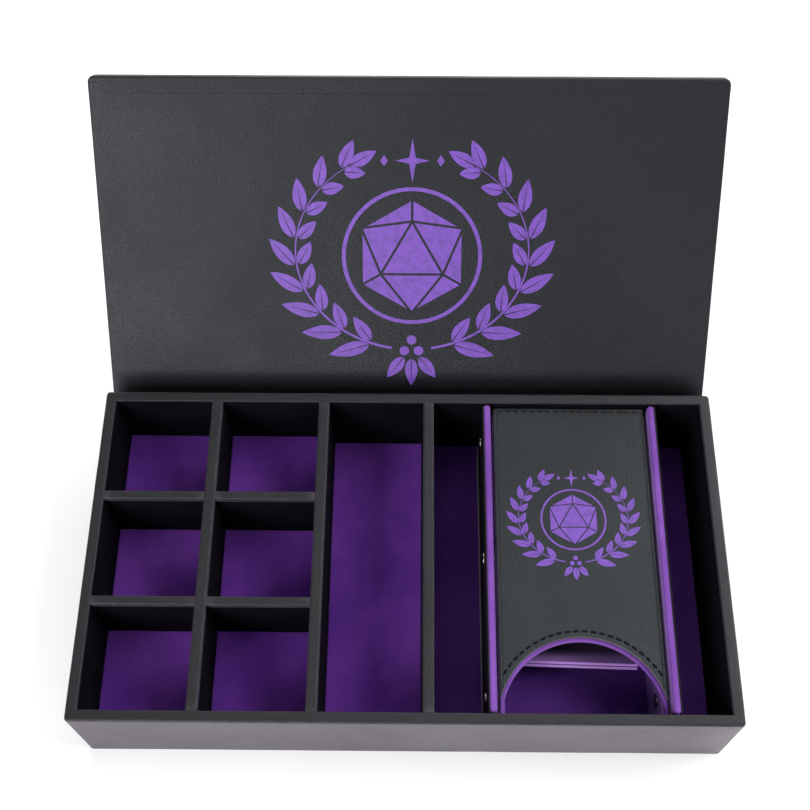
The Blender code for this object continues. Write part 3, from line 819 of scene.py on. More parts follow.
@dataclass(frozen=True)
class Print(Finish):
    """Ink printed on leather, with the grain coming through it."""

    ink: Color
    thin: Color
    patches: Noise = Noise(240.0, 3.0, 0.6)
    patch_range: tuple[float, ...] = (0.35, 0.75, 0.0, 0.5)
    crease_share: float = 0.4
    roughness: float = 0.48
    depth: float = 0.00006
    strength: float = 0.5

    def paint(self, coat: Coat) -> None:
        """Paints the patchy ink.

        Args:
            coat: the new material.
        """
        grain = coat.group(leather_grain, {"Vector": coat.place, "Scale": GRAIN_SCALE})
        patchy = coat.scale_to(coat.noise(coat.place, self.patches), *self.patch_range)
        share = coat.calculate("MULTIPLY_ADD", grain["Crease"], self.crease_share, patchy)
        color = coat.blend_colors(share, self.ink, self.thin)
        coat.feed(coat.shader, {"Base Color": color, "Roughness": self.roughness})
        coat.raise_surface(grain["Height"], self.depth, self.strength)


@dataclass(frozen=True)
class Metal(Finish):
    """Plated metal with fine scratches and dull spots."""

    bright: Color
    dull: Color
    stains: Noise = Noise(600.0, 4.0, 0.6)
    stain_range: tuple[float, float] = (0.4, 0.7)
    stain_rough: float = 0.2
    roughness: float = 0.2
    scratches: Noise = Noise(5200.0, 2.0, 0.6)
    depth: float = 0.00002
    strength: float = 0.4

    def paint(self, coat: Coat) -> None:
        """Paints the plating with its stains and scratches.

        Args:
            coat: the new material.
        """
        stains = coat.scale_to(coat.noise(coat.place, self.stains), *self.stain_range)
        values = stains, self.stain_rough, self.roughness
        inputs = {
            "Base Color": coat.blend_colors(stains, self.bright, self.dull),
            "Roughness": coat.calculate("MULTIPLY_ADD", *values),
            "Metallic": 1.0,
        }
        coat.feed(coat.shader, inputs)
        coat.raise_surface(coat.noise(coat.place, self.scratches), self.depth, self.strength)


@dataclass(frozen=True)
class Fibre(Finish):
    """A matt fibrous stuff: pulp board, felt, thread or a suede lining."""

    dark: Color
    light: Color
    scale: float
    roughness: float = 0.95
    depth: float = 0.0001
    stretch: Point = (1.0, 1.0, 1.0)
    specular: float = 0.25
    detail: float = 4.0
    detail_strength: float = 0.7
    patches: Noise = Noise(40.0)
    fibre_share: float = 0.7
    patch_share: float = 0.5
    tone_range: tuple[float, float] = (0.35, 0.85)
    strength: float = 0.6

    def paint(self, coat: Coat) -> None:
        """Paints the fibres and their patches.

        Args:
            coat: the new material.
        """
        drawn = coat.add("ShaderNodeMapping", {"Vector": coat.place, "Scale": self.stretch})
        grain = Noise(self.scale, self.detail, self.detail_strength)
        fibres = coat.noise(drawn.outputs[0], grain)
        patches = coat.noise(coat.place, self.patches)
        patches = coat.calculate("MULTIPLY", patches, self.patch_share)
        share = coat.calculate("MULTIPLY_ADD", fibres, self.fibre_share, patches)
        share = coat.scale_to(share, *self.tone_range)
        inputs = {
            "Base Color": coat.blend_colors(share, self.dark, self.light),
            "Roughness": self.roughness,
            "Specular IOR Level": self.specular,
        }
        coat.feed(coat.shader, inputs)
        coat.raise_surface(fibres, self.depth, self.strength)


CASE_LEATHER = Leather(
    "case_leather",
    (0.0062, 0.0063, 0.0073),
    (0.0104, 0.0106, 0.0121),
    (0.024, 0.024, 0.027),
    0.38,
    specular=0.36,
    gleam=(0.94, 0.93, 1.0),
    sheen=0.22,
    sheen_tint=(0.94, 0.76, 1.0),
)
LID_LEATHER = Leather(
    "lid_leather",
    (0.0056, 0.0060, 0.0076),
    (0.0090, 0.0098, 0.0120),
    (0.0060, 0.0062, 0.0072),
    0.40,
    specular=0.33,
    gleam=(0.89, 0.92, 1.0),
)
FACE_LEATHER = Leather(
    "tower_leather",
    (0.0062, 0.0074, 0.0080),
    (0.0105, 0.0122, 0.0132),
    (0.050, 0.051, 0.056),
    0.38,
    specular=0.36,
    gleam=(0.88, 0.95, 1.0),
)
CUT_EDGE = Leather(
    "leather_cut_edge", (0.045, 0.043, 0.044), (0.085, 0.082, 0.084), (0.22, 0.22, 0.23), 0.5
)
FLOOR_VELVET = Velvet("floor_velvet", (0.088, 0.0185, 0.240), (0.162, 0.042, 0.345), 0.38)
# A darker copy of the floor velvet: painted shade for the deep, narrow bay and for the tower's
# floor under its face.
SHADED_FLOOR_VELVET = Velvet("bay_velvet", (0.060, 0.0150, 0.155), (0.096, 0.029, 0.225), 0.26)
BOARD_VELVET = Velvet("board_velvet", (0.115, 0.036, 0.235), (0.185, 0.072, 0.345), 0.45)
# Painted light and shade: the ramps' dark velvet colours stand for the shadow under the tower's
# face, and the lighter edge colour is painted light along each ramp's front edge.
SHADED_RAMP_VELVET = Velvet(
    "ramp_velvet",
    (0.022, 0.008, 0.045),
    (0.040, 0.015, 0.080),
    0.3,
    (0.9, 0.75, 1.0),
    brushed=(0.56, 0.30, 0.82),
)
INK = Print("purple_ink", (0.155, 0.050, 0.400), (0.070, 0.025, 0.190))
STUD_METAL = Metal("stud_plate", (0.30, 0.28, 0.25), (0.12, 0.115, 0.11))
MAGNET_METAL = Metal("magnet_nickel", (0.60, 0.60, 0.62), (0.40, 0.40, 0.42))
WALL_SUEDE = Fibre(
    "wall_suede", (0.0018, 0.0013, 0.0028), (0.0044, 0.0034, 0.0064), 900.0, specular=0.06
)
PULP_BOARD = Fibre("pulp_board", (0.27, 0.245, 0.21), (0.40, 0.365, 0.315), 500.0)
BASE_FELT = Fibre("base_felt", (0.035, 0.035, 0.040), (0.080, 0.080, 0.088), 1400.0, 0.95, 0.0002)
# A darker copy of the leather for the panels' outer facing: its darker colour is painted shade.
SHADED_PANEL_LEATHER = Leather(
    "panel_leather",
    (0.0040, 0.0040, 0.0046),
    (0.0072, 0.0072, 0.0082),
    (0.0120, 0.0120, 0.0136),
    0.50,
    specular=0.14,
)
BLACK_THREAD = Fibre(
    "black_thread",
    (0.0012, 0.0012, 0.0014),
    (0.006, 0.006, 0.007),
    1800.0,
    0.8,
    0.00008,
    stretch=(1, 5, 5),
    specular=0.1,
)

FINISH_OF_NODE = {
    WALL_SUEDE: ("inner_lining",),
    BASE_FELT: ("base_sheet",),
    PULP_BOARD: ("base_board", "front_board", "left_board", "rear_board", "right_board"),
    MAGNET_METAL: (
        "left_lid_magnet", "left_wall_magnet", "right_lid_magnet", "right_wall_magnet"
    ),
}


def dress(piece: bpy.types.Object, finish: Finish) -> None:
    """Gives a finish to every material slot of a piece.

    Args:
        piece: a finished piece or a carried node.
        finish: the finish that it takes.
    """
    if not piece.material_slots:
        piece.data.materials.append(finish.material())
    for slot in piece.material_slots:
        slot.material = finish.material()


def fit(
    piece: bpy.types.Object,
    body: Body,
    finish: Finish,
    nodes: Sequence[str] = (),
) -> None:
    """Dresses a finished piece and hangs it on its body.

    Args:
        piece: the finished piece.
        body: the body that it rides on.
        finish: its finish.
        nodes: the nodes that it stands for.
    """
    dress(piece, finish)
    if nodes:
        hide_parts(*nodes)
    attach(piece, body.value)
    LOG.info("%s rides on %s, %d faces", piece.name, body.value, len(piece.data.polygons))


def drape(
    piece: bpy.types.Object, bodies: tuple[Body, Body], start: Point, end: Point, node: str
) -> None:
    """Dresses a leather hinge strip and bakes its place into its mesh.

    Args:
        piece: the finished strip.
        bodies: the body at each end.
        start: not used.
        end: not used.
        node: the node that it stands for.
    """
    dress(piece, CASE_LEATHER)
    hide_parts(node)
    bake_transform(piece)
    LOG.info("%s bends from %s to %s", piece.name, bodies[0].value, bodies[1].value)


# ---------------------------------------------------------------- studio


@dataclass(frozen=True)
class Softbox:
    """One soft lamp of the studio."""

    name: str
    place: Point
    width: float
    depth: float
    power: float
    aim: Point = (0.0, 0.0, 0.0)

    def build(self) -> None:
        """Hangs the lamp."""
        lamp = bpy.data.lights.new(self.name, "AREA")
        lamp.shape = "RECTANGLE"
        lamp.size = self.width
        lamp.size_y = self.depth
        lamp.energy = self.power
        item = bpy.data.objects.new(self.name, lamp)
        item.location = self.place
        aim = Vector(self.aim) - Vector(self.place)
        item.rotation_euler = aim.to_track_quat("-Z", "Y").to_euler()
        bpy.context.collection.objects.link(item)


@dataclass(frozen=True)
class Studio:
    """The pale floor, the soft light and the camera at the photograph's angle."""

    camera_place: Point = (0.0038, -0.2560, 0.7180)
    camera_turns: tuple[float, float, float] = (0.0148, 0.4836, -0.0066)
    focal_pixels: float = 1279.75
    sensor: float = 36.0
    clip_start: float = 0.05
    floor_half: float = 1.15
    paper_colors: tuple[Color, Color] = ((0.90, 0.90, 0.905), (0.92, 0.92, 0.92))
    paper_clouds: Noise = Noise(3.0)
    paper_roughness: float = 0.8
    sky: Color = (0.93, 0.94, 0.96)
    sky_strength: float = 0.20
    backdrop: Color = (1.0, 1.0, 1.0)
    boxes: tuple[Softbox, ...] = (
        Softbox("overhead", (0.0, 0.10, 1.70), 1.0, 1.0, 1.2),
        Softbox("rear_high", (0.0, 0.75, 1.55), 1.0, 0.7, 2.8),
        Softbox("rear", (0.0, 1.50, 0.90), 1.2, 0.8, 12.5),
        Softbox("rear_right", (1.00, 0.90, 1.10), 0.8, 0.8, 10.0),
        Softbox("right_high", (1.10, 0.10, 1.25), 0.9, 0.9, 16.5),
        Softbox("front_right", (0.80, -1.30, 0.40), 0.7, 0.6, 3.7),
        Softbox("front_left", (-0.50, -1.35, 0.55), 0.6, 0.5, 8.5),
        Softbox("front_left_high", (-0.90, -1.00, 1.10), 0.8, 0.8, 21.0),
    )

    def build(self) -> None:
        """Sets up the floor, the lamps, the sky and the camera."""
        self.build_floor()
        for softbox in self.boxes:
            softbox.build()
        self.build_sky()
        self.build_camera()

    def build_floor(self) -> None:
        """Lays the plain pale floor."""
        deselect()
        bpy.ops.mesh.primitive_plane_add(size=2 * self.floor_half)
        floor = bpy.context.object
        floor.name = "studio_floor"
        coat = Coat("studio_paper")
        tone = coat.scale_to(coat.noise(coat.place, self.paper_clouds), *HIDE_RANGE)
        paper = coat.blend_colors(tone, *self.paper_colors)
        coat.feed(coat.shader, {"Base Color": paper, "Roughness": self.paper_roughness})
        floor.data.materials.append(coat.material)

    def build_sky(self) -> None:
        """Lights everything evenly from all round, in front of a white backdrop."""
        world = bpy.data.worlds.new("studio_sky")
        world.use_nodes = True
        graph = Graph(world.node_tree)
        light = world.node_tree.nodes["Background"]
        graph.feed(light, {"Color": opaque(self.sky), "Strength": self.sky_strength})
        backdrop = graph.add("ShaderNodeBackground", {"Color": opaque(self.backdrop)})
        seen = graph.add("ShaderNodeLightPath").outputs["Is Camera Ray"]
        inputs = {0: seen, 1: light.outputs[0], 2: backdrop.outputs[0]}
        mixed = graph.add("ShaderNodeMixShader", inputs).outputs[0]
        graph.feed(world.node_tree.nodes["World Output"], {"Surface": mixed})
        bpy.context.scene.world = world
        bpy.context.scene.view_settings.view_transform = "Standard"

    def build_camera(self) -> None:
        """Puts the camera where the photograph was taken from."""
        data = bpy.data.cameras.new("photo_camera")
        data.sensor_width = self.sensor
        data.lens = self.sensor * self.focal_pixels / IMAGE_SIZE
        data.clip_start = self.clip_start
        camera = bpy.data.objects.new("photo_camera", data)
        first, tilt, roll = self.camera_turns
        camera.matrix_world = (
            Matrix.Translation(self.camera_place)
            @ Matrix.Rotation(first, 4, "Z")
            @ Matrix.Rotation(tilt, 4, "X")
            @ Matrix.Rotation(roll, 4, "Z")
        )
        bpy.context.collection.objects.link(camera)
        bpy.context.scene.camera = camera


# ---------------------------------------------------------------- case


@dataclass(frozen=True)
class Pad:
    """One velvet floor pad."""

    node: str
    crown: float
    rounding: float
    step: float

    def build(self) -> bpy.types.Object:
        """Shapes and swells the pad.

        Returns:
            The finished pad, not dressed yet.
        """
        low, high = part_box(self.node)
        pad = block("velvet_" + self.node, low, high)
        with editing(pad):
            pick(pad, Pick.EDGE, lambda edge: is_level(edge, high.z))
            bevel_picked(self.rounding, MORE)
        divide(pad, self.step, Axis.X, Axis.Y)
        edge = high.z - self.rounding
        inflate(pad, self.crown, lambda place: place.z < edge)
        return pad


@dataclass(frozen=True)
class Case:
    """The leather-wrapped tray with its dividers, velvet floors and lid hinge."""

    wall: float = 0.0060
    corner_round: float = 0.0021
    rim_round: float = 0.0012
    inner_round: float = 0.0006
    lip: float = 0.0013
    skin: float = 0.0009
    strip: float = 0.0060
    leather_wave: float = 0.00022
    wave_length: float = 0.028
    gap: float = 0.0003
    cap_height: float = 0.0034
    cap_proud: float = 0.00012
    cap_round: float = 0.0009
    cap_shift: float = 0.07
    notch_level: float = 0.03325
    cell_columns: float = 0.0619
    cell_rows: float = 0.0616
    cell: Pad = Pad("cell_pad_1", 0.0006, 0.0011, 0.0028)
    middle: Pad = Pad("middle_pad", 0.0006, 0.0011, 0.0035)
    bay: Pad = Pad("bay_pad", 0.0002, 0.0006, 0.0045)
    pad_shift: float = 0.05
    pad_wave: tuple[float, float] = (0.00025, 0.018)
    strap_thickness: float = 0.0006
    strap_half: float = 0.1630
    strap_strip: float = 0.0010
    strap_ends: tuple[Point, Point] = ((0, 0.0967, 0.0450), (0, 0.0991, 0.0450))
    strap_start: tuple[tuple[float, float], ...] = ((0.0966, 0.0374), (0.0966, 0.0519))
    strap_fold: tuple[tuple[float, float], ...] = (
        (0.09668, 0.05225), (0.0969, 0.05245), (0.0972, 0.05245), (0.09742, 0.05225)
    )
    strap_fall: tuple[tuple[float, float], ...] = (
        (0.0975, 0.0519), (0.0976, 0.0490), (0.0980, 0.0455), (0.0992, 0.0423), (0.1042, 0.0379)
    )

    def build(self) -> None:
        """Builds every piece of the case."""
        self.build_wrap()
        self.build_dividers()
        self.build_floors()
        self.build_strap()
        for finish, nodes in FINISH_OF_NODE.items():
            for node in nodes:
                dress(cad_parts[node], finish)
                LOG.info("%s keeps its shape, in %s", node, finish.name)

    def build_wrap(self) -> None:
        """Wraps the walls in leather, over the rim and down inside it."""
        low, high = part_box("outer_wrap")
        wrap = block("case_wrap", low, high)
        with editing(wrap):
            pick(wrap, Pick.FACE, lambda face: face.normal.z > 0.5)
            bpy.ops.mesh.inset(thickness=self.wall)
            bpy.ops.mesh.extrude_region_move(TRANSFORM_OT_translate={"value": (0, 0, -self.lip)})
            bpy.ops.mesh.delete(type="FACE")
            pick(wrap, Pick.FACE, lambda face: face.normal.z < -0.5)
            bpy.ops.mesh.delete(type="FACE")
            pick(wrap, Pick.EDGE, lambda edge: self.is_corner(edge, high))
            bevel_picked(self.corner_round, MANY)
            pick(wrap, Pick.EDGE, lambda edge: self.is_rim(edge, high))
            bevel_picked(self.rim_round, MORE)
            pick(wrap, Pick.EDGE, lambda edge: self.is_inner(edge, high))
            bevel_picked(self.inner_round, SOME)
        divide(wrap, self.strip, *Axis)
        mark_edges(wrap)
        ripple(wrap, self.leather_wave, self.wave_length)
        apply_modifier(wrap, "SOLIDIFY", thickness=self.skin, offset=-1.0)
        smooth(wrap)
        fit(wrap, Body.CASE, CASE_LEATHER, ["outer_wrap"])

    @staticmethod
    def is_corner(edge: object, high: Vector) -> bool:
        """Whether an edge is an upright outer corner of the wrap, whose highest corner is given."""
        x, y, _ = edge.verts[0].co
        return is_upright(edge) and abs(abs(x) - high.x) < NEAR and abs(abs(y) - high.y) < NEAR

    def is_rim(self, edge: object, high: Vector) -> bool:
        """Whether an edge is an outer edge of the rim, where the wrap turns down.

        Args:
            edge: the edge.
            high: the wrap's highest corner.

        Returns:
            True for those edges.
        """
        outside = all(
            max(abs(v.co.x) - high.x, abs(v.co.y) - high.y) > -self.corner_round - NEAR
            for v in edge.verts
        )
        turned = any(abs(face.normal.z) < 0.5 for face in edge.link_faces)
        return is_level(edge, high.z) and outside and turned

    def is_inner(self, edge: object, high: Vector) -> bool:
        """Whether an edge is an inner edge of the rim.

        Args:
            edge: the edge.
            high: the wrap's highest corner.

        Returns:
            True for those edges.
        """
        return is_level(edge, high.z) and all(
            max(abs(v.co.x) - high.x, abs(v.co.y) - high.y) < NEAR - self.wall for v in edge.verts
        )

    def build_dividers(self) -> None:
        """Builds the suede-sided dividers, halved where they cross, and their leather caps."""
        cross = ("cell_divider_cross_1", "cell_divider_cross_2")
        long_low, long_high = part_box("cell_divider_long")
        caps = []
        for node in (*cross, "cell_divider_long", "cell_block_side", "bay_side"):
            low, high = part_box(node)
            reach = Vector((self.gap, 0, 0) if node in cross else (0, self.gap, 0))
            first, last = low - reach, high + reach
            top = high.z - self.cap_height
            divider = block("suede_" + node, first, (last.x, last.y, top + self.gap))
            if node in cross:
                carve(divider, self.notch(long_low, long_high, (self.notch_level, high.z)))
                caps.append((first, Vector((long_low.x, last.y, last.z))))
                caps.append((Vector((long_high.x, first.y, first.z)), last))
            else:
                caps.append((first, last))
            if node == "cell_divider_long":
                for other in cross:
                    carve(divider, self.notch(*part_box(other), (0.0, self.notch_level)))
            fit(divider, Body.CASE, WALL_SUEDE, [node])
        for number, (first, last) in enumerate(caps):
            self.build_cap(number + 1, first, last)

    def build_cap(self, number: int, first: Vector, last: Vector) -> None:
        """Folds one leather cap over a divider's top.

        Args:
            number: the cap's number.
            first: the divider's lowest corner.
            last: its highest corner.
        """
        proud = self.cap_proud
        along = Axis.X if last.x - first.x > last.y - first.y else Axis.Y
        side = Vector((0, proud, 0) if along is Axis.X else (proud, 0, 0))
        low = Vector((first.x, first.y, last.z - self.cap_height)) - side
        cap = block(f"divider_cap_{number}", low, last + side)
        other = 1 - along.index
        with editing(cap):
            pick(
                cap,
                Pick.EDGE,
                lambda edge: abs(edge.verts[0].co[other] - edge.verts[1].co[other]) < NEAR
                and is_level(edge, last.z),
            )
            bevel_picked(self.cap_round, MORE)
        divide(cap, self.strip, along)
        mark_edges(cap)
        ripple(cap, self.leather_wave / 2, self.wave_length / 2, self.cap_shift * number)
        smooth(cap)
        fit(cap, Body.CASE, CASE_LEATHER)

    @staticmethod
    def notch(low: Vector, high: Vector, levels: tuple[float, float]) -> bpy.types.Object:
        """Makes the cutter for the notch that another divider passes through.

        Args:
            low: the other divider's lowest corner.
            high: its highest corner.
            levels: the notch's lowest and highest place.

        Returns:
            The cutter.
        """
        first, last = low.copy(), high.copy()
        first.z, last.z = levels
        return block("notch_cutter", first, last)

    def build_floors(self) -> None:
        """Lays the velvet pads: six alike in the cells, a long one beside them, and the bay's."""
        cell = self.cell.build()
        pads = {}
        for number in range(1, 6):
            node = f"cell_pad_{number + 1}"
            place = (number % 2 * self.cell_columns, number // 2 * self.cell_rows, 0)
            pads[node] = copy_piece(cell, "velvet_" + node, Matrix.Translation(place))
        pads["cell_pad_1"] = cell
        pads["middle_pad"] = self.middle.build()
        pads["bay_pad"] = self.bay.build()
        for number, (node, pad) in enumerate(pads.items()):
            ripple(pad, *self.pad_wave, self.pad_shift * (number + 1))
            smooth(pad)
            # The bay's pad takes the darker velvet, as painted shade.
            finish = SHADED_FLOOR_VELVET if node == "bay_pad" else FLOOR_VELVET
            fit(pad, Body.CASE, finish, [node])

    def build_strap(self) -> None:
        """Folds the leather strip that is the lid's hinge."""
        line = [*self.strap_start, *self.strap_fold, *self.strap_fall]
        strap = flat_shape("hinge_leather", [line], 2 * self.strap_half, closed=False)
        place_by(strap, Matrix(((0, 0, 1, 0), (1, 0, 0, 0), (0, 1, 0, 0), (0, 0, 0, 1))))
        divide(strap, self.strip, Axis.X)
        divide(strap, self.strap_strip, Axis.Z)
        apply_modifier(strap, "SOLIDIFY", thickness=self.strap_thickness, offset=0.0)
        smooth(strap)
        mark_edges(strap)
        drape(strap, (Body.CASE, Body.LID), *self.strap_ends, "hinge_strap")


# ---------------------------------------------------------------- emblem


@dataclass(frozen=True)
class Emblem:
    """A printed emblem: a twenty-sided die in a laurel wreath, in half-widths."""

    width: float
    ink_height: float = 0.00014
    die_radius: float = 0.40
    die_core: float = 0.618
    line: float = 0.0085
    ring_inner: float = 0.455
    ring_outer: float = 0.482
    branch: tuple[float, float] = (0.80, 0.70)
    branch_rise: float = 0.03
    branch_start: float = math.radians(-80.0)
    branch_end: float = math.radians(58.0)
    branch_width: float = 0.018
    leaf_pairs: int = 9
    leaf_long: float = 0.30
    leaf_short: float = 0.20
    leaf_half: float = 0.050
    leaf_slim: float = 0.45
    belly_lean: float = 0.8
    belly_round: float = 0.85
    leaf_shift: float = 0.75
    inner_share: float = 0.72
    stem_steps: int = 48
    stem_taper: float = 0.75
    ring_steps: int = 96
    berry_radius: float = 0.034
    berry_steps: int = 20
    berries: tuple[tuple[float, float], ...] = ((0.0, -0.60), (-0.05, -0.68), (0.05, -0.68))
    tail_root: float = -0.74
    tail_long: float = 0.20
    side_tail_root: tuple[float, float] = (0.055, -0.73)
    side_tail_long: float = 0.19
    side_tail_lean: float = math.radians(38.0)
    crest_height: float = 0.66
    star_reach: tuple[float, float, float] = (0.115, 0.030, 0.15)
    diamond_places: tuple[float, float] = (-0.19, 0.19)
    diamond_reach: tuple[float, float] = (0.026, 0.038)
    outer_lean: float = math.radians(34.0)
    inner_lean: float = math.radians(-36.0)
    leaf_steps: int = 10

    def build(self, name: str, place: Matrix) -> bpy.types.Object:
        """Builds the emblem as a thin layer of ink.

        Args:
            name: the piece's name.
            place: the emblem's middle, right and up, with the ink's face along its third axis.

        Returns:
            The finished print.
        """
        outlines = self.die() + self.ring()
        for side in (1, -1):
            outlines += [[(side * x, y) for x, y in outline] for outline in self.wreath_half()]
        outlines += self.knot() + self.crest()
        half = self.width / 2
        sized = [[(x * half, y * half) for x, y in outline] for outline in outlines]
        piece = flat_shape(name, sized, self.ink_height)
        place_by(piece, place)
        return piece

    def shrunk(self, triangle: Outline) -> Outline:
        """A triangle drawn in from its sides by half a line.

        Args:
            triangle: its corners.

        Returns:
            The smaller triangle.
        """
        a, b, c = (Vector(corner) for corner in triangle)
        sides = ((b - c).length, (c - a).length, (a - b).length)
        around = sum(sides)
        middle = (a * sides[0] + b * sides[1] + c * sides[2]) / around
        area = abs((b - a).cross(c - a)) / 2
        share = 1 - self.line * around / (2 * area)
        return [tuple(middle + (corner - middle) * share) for corner in (a, b, c)]

    def die(self) -> list[Outline]:
        """The ten facets of the die that face the front.

        Returns:
            A triangle for each.
        """
        inner = self.die_radius * self.die_core
        core = [polar(inner, math.radians(90 + 120 * n)) for n in range(3)]
        rim = [polar(self.die_radius, math.radians(90 + 60 * n)) for n in range(6)]
        facets = [core]
        for number in range(3):
            corner = core[number]
            before, at, after = (rim[(2 * number + step) % 6] for step in (-1, 0, 1))
            facets.append([corner, before, at])
            facets.append([corner, at, after])
            facets.append([corner, after, core[(number + 1) % 3]])
        return [self.shrunk(facet) for facet in facets]

    def ring(self) -> list[Outline]:
        """The thin ring round the die."""
        return [
            [polar(radius, math.tau * step / self.ring_steps) for step in range(self.ring_steps)]
            for radius in (self.ring_inner, self.ring_outer)
        ]

    def on_branch(self, angle: float) -> tuple[Vector, Vector]:
        """A point of the right branch and its direction there.

        Args:
            angle: where along the branch.

        Returns:
            The point and the direction in which the branch grows.
        """
        across, up = self.branch
        point = Vector((across * math.cos(angle), self.branch_rise + up * math.sin(angle)))
        growth = Vector((-across * math.sin(angle), up * math.cos(angle))).normalized()
        return point, growth

    def leaf(self, root: Vector, growth: Vector, lean: float, length: float) -> list[Outline]:
        """The two halves of one leaf, with its vein left open between them.

        Args:
            root: where the leaf starts.
            growth: the branch's direction there.
            lean: the leaf's turn away from it.
            length: the leaf's length.

        Returns:
            The two outlines.
        """
        turn = Matrix.Rotation(lean, 2)
        along = turn @ growth
        across = Vector((-along.y, along.x))
        half = self.leaf_half * (1 - self.leaf_slim + self.leaf_slim * length / self.leaf_long)
        halves = []
        for side in (1, -1):
            outline = []
            for step in range(self.leaf_steps + 1):
                share = step / self.leaf_steps
                belly = half * math.sin(math.pi * share**self.belly_lean) ** self.belly_round
                belly += self.line * (1 - share) / 2
                outline.append(root + along * length * share + across * side * belly)
            for step in range(self.leaf_steps - 1, 0, -1):
                share = step / self.leaf_steps
                vein = self.line * (1 - share) / 2
                outline.append(root + along * length * share + across * side * vein)
            halves.append([tuple(point) for point in outline])
        return halves

    def wreath_half(self) -> list[Outline]:
        """The right branch: its stem and its pairs of leaves, which get smaller towards the tip.

        Returns:
            The stem's outline and those of the leaves.
        """
        reach = self.branch_end - self.branch_start
        outer, inner = [], []
        for number in range(self.stem_steps + 1):
            point, growth = self.on_branch(self.branch_start + reach * number / self.stem_steps)
            side = Vector((growth.y, -growth.x)) * self.branch_width / 2
            side *= 1 - self.stem_taper * number / self.stem_steps
            outer.append(tuple(point + side))
            inner.append(tuple(point - side))
        outlines = [outer + inner[::-1]]
        for number in range(self.leaf_pairs):
            share = (number + self.leaf_shift) / self.leaf_pairs
            angle = self.branch_start + reach * share
            length = self.leaf_long + (self.leaf_short - self.leaf_long) * share
            point, growth = self.on_branch(angle)
            aside = Vector((growth.y, -growth.x)) * (self.branch_width / 2 + self.line)
            outlines += self.leaf(point + aside, growth, -self.outer_lean, length)
            length *= self.inner_share
            outlines += self.leaf(point - aside, growth, -self.inner_lean, length)
        tip, growth = self.on_branch(self.branch_end)
        return outlines + self.leaf(tip + growth * self.line, growth, 0.0, self.leaf_short)

    def knot(self) -> list[Outline]:
        """The three berries and the tails where the branches meet.

        Returns:
            An outline for each.
        """
        turns = [math.tau * step / self.berry_steps for step in range(self.berry_steps)]
        circle = [polar(self.berry_radius, turn) for turn in turns]
        outlines = [[(x + dx, y + dy) for dx, dy in circle] for x, y in self.berries]
        down = Vector((0, -1))
        outlines += self.leaf(Vector((0, self.tail_root)), down, 0.0, self.tail_long)
        x, y = self.side_tail_root
        for side in (1, -1):
            root, lean = Vector((side * x, y)), side * self.side_tail_lean
            outlines += self.leaf(root, down, lean, self.side_tail_long)
        return outlines

    def crest(self) -> list[Outline]:
        """The four-pointed star over the die, with a small diamond at either side.

        Returns:
            The three outlines.
        """
        level = self.crest_height
        across, notch, up = self.star_reach
        reaches = (across, notch, up, notch) * 2
        points = [polar(reach, math.tau * n / 8) for n, reach in enumerate(reaches)]
        star = [(x, level + y) for x, y in points]
        half, rise = self.diamond_reach
        diamonds = [
            [(x + half, level), (x, level + rise), (x - half, level), (x, level - rise)]
            for x in self.diamond_places
        ]
        return [star, *diamonds]


def polar(radius: float, angle: float) -> tuple[float, float]:
    """The point at a radius and an angle."""
    return radius * math.cos(angle), radius * math.sin(angle)


# ---------------------------------------------------------------- lid


